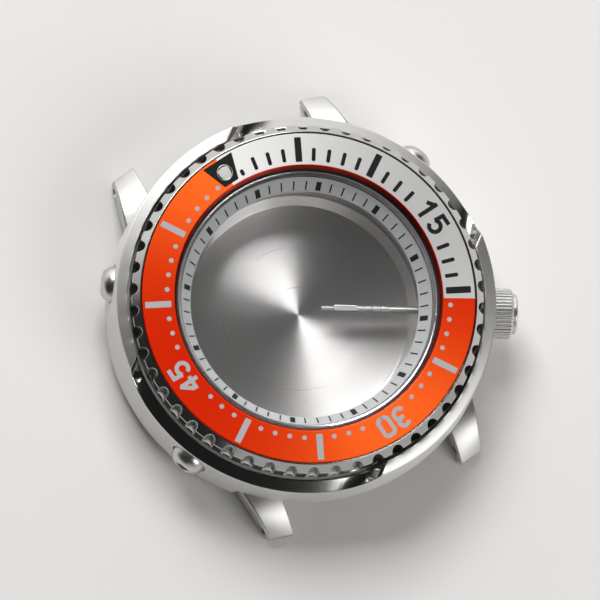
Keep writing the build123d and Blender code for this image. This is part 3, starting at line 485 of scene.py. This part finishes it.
slope_inner, slope_outer, slope_low, slope_high = 13.63, 14.98, 8.55, 10.4
ring_outline = eased([(slope_inner, dial_seat), (15.4, dial_seat), (15.4, slope_high),
                      (slope_outer, slope_high), (slope_inner, slope_low)], 0.03)
make_piece("minute_ring", "case", [(turned(ring_outline), True, True, 0)],
           [paint("ring_paint", (0.37, 0.38, 0.375), 0.45, 0.10, 0.1)], ["chapter_ring"])


def strokes(line, width, corner):
    """Left and right side of a stroke along a line of (x, y) points. Its half width is even, apart from
    the ends, where it falls along a quarter circle of the corner's radius."""
    line = np.asarray(line, float)
    step = np.diff(line, axis=0)
    step /= np.linalg.norm(step, axis=1, keepdims=True)
    turn = np.linspace(0, np.radians(80), 5)
    reach, half = corner * np.sin(turn), width / 2 - corner * (1 - np.cos(turn))
    before = line[0] - step[0] * (reach[::-1] - corner)[:, None]
    after = line[-1] + step[-1] * (reach - corner)[:, None]
    ahead = np.vstack([step, step[-1:]])
    behind = np.vstack([step[:1], step])
    mitre = ahead + behind
    mitre /= (mitre * ahead).sum(axis=1, keepdims=True)
    normal = np.stack([-mitre[:, 1], mitre[:, 0]], axis=1)
    points = np.vstack([before, line[1:-1], after])
    offset = np.vstack([normal[:1] * half[::-1, None], normal[1:-1] * width / 2, normal[-1:] * half[:, None]])
    return points + offset, points - offset


print_height, print_sunk = 0.012, 0.004


def printed(line, width, corner, surface, thick, place):
    """Thin closed slab of print: a stroke in its own (x, y) plane, put on the surface by place, which
    gives the plan point, and surface, which gives the height there. Its underside is sunk a little."""
    left, right = strokes(line, width, corner)
    left, right = place(left), place(right)

    def at(plan, lift):
        return np.column_stack([plan, surface(np.hypot(*plan.T)) + lift])

    loop = np.stack([at(left, thick), at(right, thick), at(right, -print_sunk), at(left, -print_sunk)],
                    axis=1)
    middle = loop.mean(axis=1, keepdims=True)
    ends = [np.broadcast_to(middle[:1], loop[:1].shape), np.broadcast_to(middle[-1:], loop[:1].shape)]
    return np.concatenate([ends[0], loop, ends[1]]), False, True, 0


def at_clock(angle, radius=0.0):
    """Placer for print whose x runs clockwise and y outwards, from a radius at a clock angle."""
    turn = math.radians(angle)
    out, side = np.array([math.sin(turn), math.cos(turn)]), np.array([math.cos(turn), -math.sin(turn)])
    return lambda plan: plan[:, :1] * side + (plan[:, 1:] + radius) * out


def ring_slope(radius):
    """Height of the sloping face, which rises evenly from its inner edge to its outer one."""
    return slope_low + (radius - slope_inner) * (slope_high - slope_low) / (slope_outer - slope_inner)


bold, fine = 0.62, 0.18
black_print = paint("black_print", (0.007, 0.008, 0.008), 0.6, 0.3, 0.1, 0.2)
ring_marks = [printed([(0, 13.79), (0, 14.61)], fine if minute % 5 else bold, 0.02, ring_slope, print_height,
                      at_clock(minute * 6)) for minute in range(60)]
make_piece("minute_ring_print", "case", ring_marks, [black_print])


# Crystal. A flat disc of sapphire glass with a polished chamfer, pressed into an L-section ring of
# grey rubber, whose foot shows beside its edge. The ring's other faces are a near-black copy of the
# rubber, painted shade for the gap round the crystal. It lies lower than the insert round it.

def stripe(count, first, last):
    """Finish 1 for the rows of an outline from first to before last, and 0 for its other rows. An eased
    corner has three rows more than steps."""
    row = np.arange(count)
    return ((row >= first) & (row < last)).astype(int)[None, :]


crystal_bottom, crystal_top, crystal_edge = 11.1, 12.5, 15.40
crystal_outline = eased([(0, crystal_bottom), (crystal_edge, crystal_bottom), (crystal_edge, 12.34),
                         (15.23, crystal_top), (0, crystal_top)], 0.03, closed=False)
glass, nodes, feed = finish("sapphire", {"Transmission Weight": 1.0, "IOR": 1.77})
smear = nodes.noise(120.0, 3.0)
feed("Base Color", nodes.blend(smear, (0.985, 0.98, 0.99, 1), (1, 1, 1, 1)))
feed("Roughness", 0.004 * smear)
clear = nodes.node("BsdfTransparent", {}, {0: (0.95, 0.95, 0.95, 1)})
shadow = nodes.node("LightPath", {}, {}).part("Is Shadow Ray")
body = Shade(glass.node_tree, glass.node_tree.nodes["Principled BSDF"].outputs[0])
mixed = nodes.node("MixShader", {}, {0: shadow, 1: body, 2: clear})
glass.node_tree.links.new(mixed.socket, glass.node_tree.nodes["Material Output"].inputs["Surface"])
make_piece("crystal_glass", "case", [(turned(crystal_outline), True, False, 0)], [glass],
           ["crystal"])
seal_outline = eased([(14.98, seal_shelf), (16.25, seal_shelf), (16.25, neck_top), (15.44, neck_top),
                      (15.44, crystal_bottom), (14.98, crystal_bottom)], 0.05)
# Rows along the glass's edge and under it keep the rubber's own grey. The other rows are near black, painted
# shade for the gap.
seal_marks = stripe(len(seal_outline), 21, 32)
make_piece("crystal_seal", "case", [(turned(seal_outline), True, True, seal_marks)],
           [rubber("painted_shade_seal_rubber", 0.02), rubber("seal_foot", 0.26, (1.0, 0.93, 0.97))], ["crystal_gasket"])


# Click spring. A flat ring stamped from spring steel, with three bent tongues, held on the case
# shoulder by two pins. The bezel hides it.

dress(steel("spring_steel", 0.5, 0.22, lines=0.3), "click_spring")
dress(steel("pin_steel", 0.55, 0.18, lines=0.3), "click_spring_pins")


# Protector ring. A conical steel ring round the case, satin on its raised edges and walls, with two
# polished cut-outs on top, notches over the lugs, a hole for the crown and a pocket for each screw.

shroud_inner, shroud_outer_top, shroud_outer_bottom = 21.29, 22.62, 23.07
shroud_top, shroud_bottom = 11.37, 2.15
slot_inner_floor, slot_outer_floor = 9.65, 8.94
slot_angle = 46.0


def slot_end():
    """Reach and height down one end of a cut-out: a small quarter circle over the top edge, then a
    quarter ellipse down to the floor."""
    edge_round, slope_reach, slope_fall = 0.12, 4.7, 2.45
    edge, slope = np.linspace(0, math.pi / 2, 4), np.linspace(0.05, math.pi / 2, 14)
    reach = np.concatenate([16.12 - edge_round * np.sin(edge), 11.3 + slope_reach * np.cos(slope)])
    return reach, np.concatenate([11.25 + edge_round * np.cos(edge), 11.35 - slope_fall * np.sin(slope)])


def notch_end():
    """Reach and height up one end of a notch: a quarter circle at its mouth and another, bent the
    other way, under its roof."""
    bend, turn = 0.8, np.linspace(0, math.pi / 2, 7)
    reach = np.concatenate([16.55 - bend * np.sin(turn), 14.95 + bend * np.cos(turn)])
    return reach, np.concatenate([2.95 - bend * np.cos(turn), 3.27 + bend * np.sin(turn)])


def shroud_columns():
    """Columns of half the ring, which repeats after half a turn. A column is a line across the ring: at
    each radius its clock angle is a centre plus the arc sine of an offset over the radius, so that near
    a cut-out's or notch's end the columns run along that end, and between them they fan evenly. Each
    has a floor for the top and a roof for the bottom."""
    slot_reach, slot_floor = slot_end()
    notch_reach, notch_roof = notch_end()
    lowest, notch_top = 0.0, notch_roof[-1]
    ends = [
        (0.0, -notch_reach, shroud_top, notch_roof),
        (slot_angle, -slot_reach, slot_floor, notch_top),
        (0.0, notch_reach[::-1], lowest, notch_roof[::-1]),
        (slot_angle, slot_reach[::-1], slot_floor[::-1], shroud_bottom),
        (180.0, -notch_reach[:1], shroud_top, notch_roof[:1]),
    ]

    def columns(count, *values):
        return np.column_stack([np.broadcast_to(value, count) for value in values])

    fan = np.arange(1, 44) / 44
    made = []
    for (centre, reach, floor, roof), (next_centre, next_reach, _, _) in zip(ends, ends[1:]):
        made.append(columns(len(reach), centre, reach, centre, reach, 0.0, floor, roof))
        fan_floor = lowest if made[-1][-1, 5] < slot_inner_floor else shroud_top
        made.append(columns(len(fan), centre, reach[-1], next_centre, next_reach[0], fan, fan_floor,
                            made[-1][-1, 6]))
    return np.vstack(made)


def outlines(count, corners):
    """The same outline for each of a number of columns. A corner's radius and height are each a number,
    or one number a column where the columns differ."""
    return np.stack([np.stack(np.broadcast_arrays(radius, height, np.zeros(count))[:2], axis=1)
                     for radius, height in corners], axis=1)


half_ring = shroud_columns()
ring_columns = np.vstack([half_ring, half_ring + [180, 0, 180, 0, 0, 0, 0]])
centre, offset, next_centre, next_offset, fan_share, top_floor, roof = ring_columns.T[..., None]


def shroud_wall(height):
    """Radius of the outer wall, which changes evenly from the ring's bottom to its top."""
    share = (height - shroud_bottom) / (shroud_top - shroud_bottom)
    return shroud_outer_bottom + (shroud_outer_top - shroud_outer_bottom) * share


roof = roof.ravel()
inner_top = np.minimum(shroud_top, np.maximum(slot_inner_floor, top_floor.ravel()))
outer_top = np.minimum(shroud_top, np.maximum(slot_outer_floor, top_floor.ravel()))
shroud_outline = eased(outlines(len(roof), [
    (shroud_inner, roof), (shroud_wall(roof), roof), (shroud_wall(outer_top), outer_top),
    (shroud_inner, inner_top)]), [0.05, 0.12, 0.14, 0.14], steps=4)
across, up = shroud_outline[..., 0], shroud_outline[..., 1]
start = centre + np.degrees(np.arcsin(offset / across))
end = next_centre + np.degrees(np.arcsin(next_offset / across))
clock = np.radians(start + (end - start) * fan_share)
shroud_grid = np.stack([across * np.sin(clock), across * np.cos(clock), up], axis=-1)
still_full = shroud_top - 0.07
lowered = (outer_top < still_full) | (np.roll(outer_top, -1) < still_full)
shroud_marks = lowered[:, None] * stripe(shroud_outline.shape[1], 15, 27)
shroud_satin = steel("shroud_satin", 0.70, 0.44, depth=0.08, anisotropic=0.75)
mirror_steel = steel("mirror_steel", 0.62, 0.15, lines=0.3, depth=0.03)
shroud = make_piece("protector_ring", "case", [(shroud_grid, True, True, shroud_marks)],
                    [shroud_satin, mirror_steel], ["shroud"])
screw_seat = 22.34
drills = [drill_shape([(0, 20.0), (3.3, 20.0), (3.3, 25.0), (0, 25.0)], crown_angle, crown_height, 96)]
pocket = [(0, screw_seat), (2.35, screw_seat), (2.35, 24.0), (0, 24.0)]
drills += [drill_shape(pocket, angle, screw_height, 72) for angle in screw_angles]
bored(shroud, drills)


# Screws of the protector ring. Polished domed heads with a hexagon socket, each in its pocket. Their
# shanks go through the ring into the case.

def arc(centre, radius, first, last, count):
    """Points of a circular arc, by angles counted from x towards y."""
    turn = np.radians(np.linspace(first, last, count))
    return np.stack([centre[0] + radius * np.cos(turn), centre[1] + radius * np.sin(turn)], axis=1)


def bulge(first, last):
    """Arc from one point to another with the distance between them as its radius. Its centre lies off
    the middle of the chord by half the square root of three times that distance."""
    first, last = np.array(first), np.array(last)
    chord = last - first
    centre = (first + last) / 2 + np.array([chord[1], -chord[0]]) * math.sqrt(3) / 2
    angles = [math.degrees(math.atan2(*(point - centre)[::-1])) for point in (first, last)]
    return arc(centre, np.linalg.norm(chord), *angles, 9)


screw_turn = np.linspace(0, 360, 96, endpoint=False)
hexagon = 0.75 / np.cos(np.radians(screw_turn % 60 - 30))
socket_floor, head_top = screw_seat + 0.72, screw_seat + 1.72
screw_outline = outlines(len(screw_turn), [
    (0.0, socket_floor), (hexagon - 0.03, socket_floor), (hexagon, socket_floor + 0.03),
    (hexagon, head_top - 0.06), (hexagon + 0.06, head_top),
    *bulge((1.25, head_top), (2.2, screw_seat + 0.4)), (2.2, screw_seat + 0.05), (2.15, screw_seat),
    (1.0, screw_seat), (1.0, screw_seat - 3.3), (0.9, screw_seat - 3.4), (0.0, screw_seat - 3.4)])
screw_steel = steel("screw_steel", 0.60, 0.3, lines=0.3, depth=0.03)
make_piece("ring_screws", "case",
           [(laid_out(turned(screw_outline, screw_turn + twist), angle, screw_height), True, False, 0)
            for angle, twist in zip(screw_angles, (12, 41, 25))],
           [screw_steel], ["shroud_screws"], sharp=30)


# Bezel. A steel ring with fifty flutes, bevelled on top, with click teeth underneath. It snaps over
# the flange of the neck on a soft ring, and turns.

bezel_turn, bezel_top, bevel_start, crest = -10.4, 13.4, 20.03, 20.96
flutes, flute, half_land, flute_lip = 50, 0.71, 0.607, 0.10
corner_turn = np.radians([0, 30, 60, 90])
flute_turn = np.radians(np.linspace(8, 172, 12)[1:-1])
edge_x = half_land - flute_lip + flute_lip * np.sin(corner_turn)
edge_y = -flute_lip + flute_lip * np.cos(corner_turn)
bezel_x = np.concatenate([-edge_x[::-1], [0.0], edge_x, half_land + flute - flute * np.cos(flute_turn)])
bezel_y = np.concatenate([edge_y[::-1], [0.0], edge_y, -flute * np.sin(flute_turn)])
bezel_clock = (np.degrees(bezel_x / crest)[None] + np.arange(flutes)[:, None] * 360 / flutes
               + bezel_turn).ravel()
rim = np.tile(crest + bezel_y, flutes)
rim_top, scallop_end = bevel_start + bezel_top - rim, 10.1
scallop = [(crest + (rim - crest) * math.sqrt(1 - share ** 2), rim_top + (scallop_end - rim_top) * share)
           for share in (0, 0.25, 0.45, 0.62, 0.76, 0.88, 0.96, 1)]
recess, bezel_bottom, tooth_root, tooth_inner, tooth_outer = 19.92, 9.75, 10.06, 19.0, 20.2
bezel_outline = eased(outlines(len(rim), [
    (16.0, 12.0), (16.0, 12.5), (recess, 12.5), (recess, bezel_top), (bevel_start, bezel_top), *scallop,
    (crest, 9.95), (20.76, bezel_bottom), (tooth_outer, bezel_bottom), (tooth_outer, tooth_root),
    (tooth_inner, tooth_root), (tooth_inner, bezel_bottom), (18.6, bezel_bottom), (18.6, 10.0), (17.8, 10.0),
    (17.8, 10.75), (18.6, 10.75), (18.6, 11.5), (18.1, 11.5), (18.1, 12.0)]),
    [0.03, 0.03, 0.02, 0.015, 0.03, 0.08] + [0.04] * 7 + [0.03] * 14)
teeth, tooth_columns, tooth_height = 120, 6, 0.3
tooth_column = np.arange(teeth * tooth_columns)
tooth_low = bezel_bottom + tooth_height * (1 - tooth_column % tooth_columns / tooth_columns)
tooth_outline = outlines(len(tooth_column), [(tooth_inner, tooth_root), (tooth_outer, tooth_root),
                                             (tooth_outer, tooth_low), (tooth_inner, tooth_low)])
tooth_clock = tooth_column * 360 / len(tooth_column) + 40.0
bezel_steel = steel("bezel_steel", 0.64, 0.13, depth=0.04, patchy=0.2)
flute_steel = steel("flute_steel", 0.54, 0.21, lines=0.2, depth=0.05)
make_piece("fluted_bezel", "bezel",
           [(turned(bezel_outline, bezel_clock), True, True, stripe(bezel_outline.shape[1], 33, 78)),
            (turned(tooth_outline, tooth_clock), True, True, 1)],
           [bezel_steel, flute_steel], ["bezel"])
dress(rubber("bezel_rubber", 0.03), "bezel_gasket")


# Insert. A flat aluminium ring stuck into the bezel: orange, with a silver sector for the first twenty
# minutes, and the marks printed on. It is brushed round the axis, and its inner wall leans in. That wall
# has a darker copy of the orange, which paints in the shade that falls on it.

def anodised(name, colour, rough, constants):
    """Dyed and brushed aluminium: fine lines round the axis in its colour and bump."""
    material, nodes, feed = finish(name, {"Anisotropic Rotation": 0.25, **constants})
    streaks = round_lines(nodes, 0.1, 3.0)
    speck = nodes.noise(7000.0, 2.0)
    feed("Base Color", nodes.blend(0.5 * streaks + 0.5 * speck, *shades(colour, 0.88, 1.08)))
    feed("Roughness", rough + 0.08 * streaks)
    feed("Normal", (streaks * 0.6 + speck * 0.4).bump(0.12, 1e-5))
    return material


insert_bottom, insert_top = 12.6, bezel_top
insert_outline = eased([(15.66, insert_bottom), (19.8, insert_bottom), (19.8, insert_top - 0.06),
                        (19.74, insert_top), (16.04, insert_top), (15.97, insert_top - 0.07)], 0.02, steps=2)
silver_end, silver_columns, orange_columns = bezel_turn + 123.2, 205, 394
insert_clock = np.concatenate([np.linspace(bezel_turn, silver_end, silver_columns, endpoint=False),
                               np.linspace(silver_end, bezel_turn + 360, orange_columns, endpoint=False)])
silver_side = (np.arange(len(insert_clock)) < silver_columns)[:, None]
other_sides = stripe(len(insert_outline), 2, 27)
insert_marks = np.where(other_sides, silver_side * stripe(len(insert_outline), 7, 22), 2)
orange = anodised("orange_anodised", (0.86, 0.010, 0.002), 0.37,
                  {"IOR": 3.2, "Specular Tint": (1.0, 0.29, 0.035, 1.0), "Anisotropic": 0.75})
# The inner wall's darker orange is painted shade on the steep wall, not a different dye.
painted_shade_orange_wall = anodised("painted_shade_orange_wall", (0.35, 0.014, 0.004), 0.25,
                       {"Metallic": 0.95, "Specular IOR Level": 0.15, "Anisotropic": 0.6})
silver = anodised("silver_anodised", (0.67, 0.665, 0.65), 0.52, {"Metallic": 0.6, "Anisotropic": 0.5})
insert = make_piece("two_colour_insert", "bezel",
                    [(turned(insert_outline, insert_clock), True, True, insert_marks)],
                    [orange, silver, painted_shade_orange_wall], ["bezel_insert"])
pip_reach, pip_turn = 17.86, math.radians(bezel_turn)
pip_centre = np.array([pip_reach * math.sin(pip_turn), pip_reach * math.cos(pip_turn), 0])
pip_drill = turned(np.array([(0, 12.0), (0.99, 12.0), (0.99, 14.0), (0, 14.0)]), np.arange(0, 360, 5.0))
bored(insert, [make_piece("drill", None, [(pip_drill + pip_centre, True, False, 0)], [])])
dress(paint("adhesive_film", (0.35, 0.3, 0.2), 0.6), "insert_adhesive")


def insert_face(radius):
    return np.full(len(radius), insert_top)


def mark(minute, low, high, width, corner):
    """Straight mark of the insert at a minute, between two radii."""
    return printed([(0, low), (0, high)], width, corner, insert_face, print_height,
                   at_clock(minute * 6 + bezel_turn))


one = [[(0.10, 1.74), (0.98, 2.40)], [(0.98, 2.68), (0.98, 0.0)]]
five = [[(1.68, 2.445), (0.42, 2.445), (0.32, 1.30)], arc((0.93, 0.93), 0.695, 148, -152, 18)]
three = [arc((0.86, 1.85), 0.595, 155, -75, 14), arc((0.86, 0.92), 0.685, 84, -155, 16),
         [(0.50, 1.40), (1.05, 1.36)]]
zero = [[(0.80, 0.235), (1.28, 0.235), (1.56, 0.52), (1.56, 2.16), (1.28, 2.445), (0.52, 2.445),
         (0.235, 2.16), (0.235, 0.52), (0.52, 0.235), (0.90, 0.235)]]
four = [[(1.30, 0.0), (1.30, 2.30)], [(1.36, 2.40), (0.30, 1.02)], [(0.12, 0.80), (1.86, 0.80)]]


def numeral(digits, minute):
    """Two digits side by side across a minute, their tops outwards. Each stroke of a digit lies a
    little higher than the one before."""
    pitch, shift, lift = 2.1, 0.12, 0.002
    width, corner, foot = 0.50, 0.07, 16.49
    return [printed(np.asarray(line, float) + [(place - 1) * pitch + shift, 0], width, corner, insert_face,
                    print_height + lift * layer, at_clock(minute * 6 + bezel_turn, foot))
            for place, digit in enumerate(digits) for layer, line in enumerate(digit)]


black_marks = [mark(minute, 16.34, 19.33, 0.80, 0.12) for minute in (5, 10, 20)]
black_marks += [mark(minute, 16.44, 18.05, 0.46, 0.18) for minute in range(2, 20)
                if minute % 5 and minute not in (14, 16)]
black_marks += [mark(1, 16.44, 17.21, 0.46, 0.18)] + numeral((one, five), 15)
make_piece("black_marks", "bezel", black_marks, [black_print])
grey_print = paint("grey_print", (0.42, 0.42, 0.44), 0.5, 0.12, 0.2)
grey_marks = [mark(minute, 16.39, 19.49, 0.75, 0.08) for minute in (25, 35, 40, 50, 55)]
grey_marks += [mark(minute, 16.565, 17.135, 0.57, 0.28) for minute in range(21, 60)
               if minute % 5 and minute not in (29, 31, 44, 46)]
grey_marks += numeral((three, zero), 30) + numeral((four, five), 45)
make_piece("grey_marks", "bezel", grey_marks, [grey_print])


def pip_frame():
    """Trapezium with a round hole for the cup: rings of points from the hole to the trapezium, each at
    the same bearings from the pip, on top and underneath."""
    corners = np.array([(-2.03, 19.49), (2.03, 19.49), (0.96, 16.36), (-0.96, 16.36)])
    from_pip = eased(corners, 0.08) - [0, pip_reach]
    bearing = np.arctan2(from_pip[:, 1], from_pip[:, 0])
    hole = np.stack([np.cos(bearing), np.sin(bearing)], axis=1) * 0.985
    place = at_clock(bezel_turn, pip_reach)
    outer, inner = place(from_pip), place(hole)
    top, under = insert_top + print_height, insert_top - print_sunk
    loop = [np.column_stack([plan, np.full(len(plan), height)])
            for plan, height in ((inner, top), (outer, top), (outer, under), (inner, under))]
    return np.stack(loop, axis=1), True, True, 0


make_piece("pip_surround", "bezel", [pip_frame()], [black_print])


# Pip. A small steel cup in the insert's hole with a domed bead of luminous resin, which marks the
# bezel's zero.

cup_radius, cup_inner, cup_floor, cup_top, bead_edge, bead_rise = 0.96, 0.86, 12.8, 13.45, 13.38, 0.06
pip_clock = np.arange(0, 360, 6.0)
pip_steel = steel("pip_steel", 0.68, 0.3, lines=0.1)
cup = eased([(0, insert_bottom), (cup_radius, insert_bottom), (cup_radius, cup_top), (cup_inner, cup_top),
             (cup_inner, cup_floor), (0, cup_floor)], 0.03, closed=False)
make_piece("pip_cup_turned", "bezel", [(turned(cup, pip_clock) + pip_centre, True, False, 0)],
           [pip_steel], ["pip_cup"])
bead_radius, bead_turn = cup_inner - 0.01, np.linspace(0, 1, 8) * math.pi / 2
bead_dome = np.stack([bead_radius * np.cos(bead_turn), bead_edge + bead_rise * np.sin(bead_turn)], axis=1)
bead_dome[-1, 0] = 0
bead = np.vstack([[(0, cup_floor), (bead_radius, cup_floor), (bead_radius, bead_edge)], bead_dome])
lume = paint("lume", (0.60, 0.59, 0.55), 0.35, 0.08, 0.1)
make_piece("lume_bead", "bezel", [(turned(bead, pip_clock) + pip_centre, True, False, 0)],
           [lume], ["lume_pip"])


# Crown. Knurled steel cap with a raised end disc. Pressed into it is the pipe that slides in the
# tube, with a rubber ring, and in the pipe a sprung sleeve that holds the stem.

cap_radius, grooves = 3.02, 40
knurl_x = np.array([-0.15, -0.12, 0.0, 0.12, 0.15, 0.17, 0.195, 0.237, 0.279, 0.304])
knurl_depth = np.array([0.02, 0.0, 0.0, 0.0, 0.02, 0.05, 0.09, 0.11, 0.09, 0.05])
knurl_clock = (np.degrees(knurl_x / cap_radius)[None] + np.arange(grooves)[:, None] * 360 / grooves).ravel()
cap_rim = cap_radius - np.tile(knurl_depth, grooves)
cap_start, cap_edge, cap_face, disc_radius, disc_face = 21.34, 24.82, 25.06, 2.4, 25.63
cap_outline = outlines(len(cap_rim), [
    (0, 24.70), (1.47, 24.70), (1.47, 24.20), (2.4, 24.20), (2.4, cap_start), (cap_rim, cap_start),
    (cap_rim, cap_edge + cap_radius - cap_rim), (2.78, cap_face), (disc_radius, cap_face),
    (disc_radius, disc_face - 0.15), (disc_radius - 0.15, disc_face), (0, disc_face)])
cap_outline = eased(cap_outline, [0.03] * 5 + [0.05, 0.05, 0.05, 0.03, 0.05, 0.08, 0.03], closed=False)
crown_steel = steel("crown_steel", 0.64, 0.3, lines=0.1)
make_piece("knurled_crown", "crown",
           [(laid_out(turned(cap_outline, knurl_clock), crown_angle, crown_height), True, False, 0)],
           [crown_steel], ["crown_cap"])
dress(steel("pipe_steel", 0.6, 0.16, lines=0.3), "crown_pipe", "crown_washer", "stem_sleeve")
dress(steel("coil_steel", 0.5, 0.2, lines=0.3), "crown_spring")
dress(rubber("crown_rubber", 0.02), "crown_gasket")

stem_start, stem_end, square_half, square_corner = 2.25, 18.7, 0.37, 0.49
stem_clock = np.linspace(0, 360, 48, endpoint=False)
stem_sine, stem_cosine = np.sin(np.radians(stem_clock)), np.cos(np.radians(stem_clock))
square = np.minimum(square_half / np.maximum(np.abs(stem_cosine), np.abs(stem_sine)), square_corner)
stem_steps = [(stem_start, 3.75, 0.24), (3.75, 6.45, square), (6.45, 7.75, 0.36), (7.75, 8.15, 0.43),
              (8.15, 8.32, 0.24), (8.32, 9.17, 0.43), (9.17, 9.4, 0.30), (9.4, 10.27, 0.43),
              (10.27, 10.5, 0.30), (10.5, 11.32, 0.43), (11.32, stem_end, 0.42)]
stem_corners = [(radius, distance) for low, high, radius in stem_steps for distance in (low, high)]
stem_outline = eased(outlines(len(stem_clock), [(0.0, stem_start), *stem_corners, (0.0, stem_end)]), 0.03,
                     steps=2, closed=False)
stem_steel = steel("stem_steel", 0.42, 0.45, lines=0.15, depth=0.05)
make_piece("turned_stem", "crown",
           [(laid_out(turned(stem_outline, stem_clock), crown_angle, crown_height), True, False, 0)],
           [stem_steel], ["winding_stem"], sharp=30)


# Caseback. Screwed in from below, with a gasket in its groove and six notches for a wrench. Its
# inside is faced on a lathe, and the fine rings there throw the light into two bright wedges.

def back_columns():
    """Clock angles of the columns, two at each edge of a notch, and which columns lie in a notch: of the
    two at an edge, the one on the notch's side."""
    half_notch = 4.1
    edges = (np.array([-half_notch, half_notch])[None] + np.arange(6)[:, None] * 60).ravel() % 360
    angle = np.sort(np.concatenate([np.linspace(0, 360, 240, endpoint=False), edges, edges]))
    second = np.concatenate([[False], np.diff(angle) == 0])
    off_notch = (angle + 30) % 60 - 30
    return angle, ((np.abs(off_notch) < half_notch - 0.01) | (np.isclose(off_notch, -half_notch) & second)
                   | (np.isclose(off_notch, half_notch) & ~second))


back_clock, notched = back_columns()
rim_bottom, rim_side, notch_wall, notch_ceiling = 18.3, 18.9, 17.8, 0.75
thread_radius, back_top, faced_height = 17.32, 3.2, 1.9
back_outline = eased(outlines(len(back_clock), [
    (0, 0), (12.0, 0), (12.0, 0.15), (12.6, 0.15), (12.6, 0), (np.where(notched, notch_wall, rim_bottom), 0),
    (np.where(notched, notch_wall, rim_side), np.where(notched, notch_ceiling, 0.6)),
    (rim_side, np.where(notched, notch_ceiling, 0.9)), (rim_side, 1.25), (thread_radius, 1.25),
    (thread_radius, back_top), (16.35, back_top), (16.35, 2.6), (15.3, 2.6), (15.3, back_top),
    (14.2, back_top), (13.3, faced_height), (0, faced_height)]), 0.05, closed=False)
back_rows = back_outline.shape[1] - 1
faced_steel = steel("faced_steel", 0.67, 0.31, lines=0.25, depth=0.003, anisotropic=0.88, wander=0.4,
                    patchy=0.05)
back_steel = steel("back_steel", 0.62, 0.3, lines=0.15, anisotropic=0.6)
make_piece("caseback_turned", "caseback",
           [(turned(back_outline, back_clock), True, False, stripe(back_rows, 90, back_rows))],
           [back_steel, faced_steel], ["caseback"])
dress(rubber("back_rubber", 0.02), "caseback_gasket")
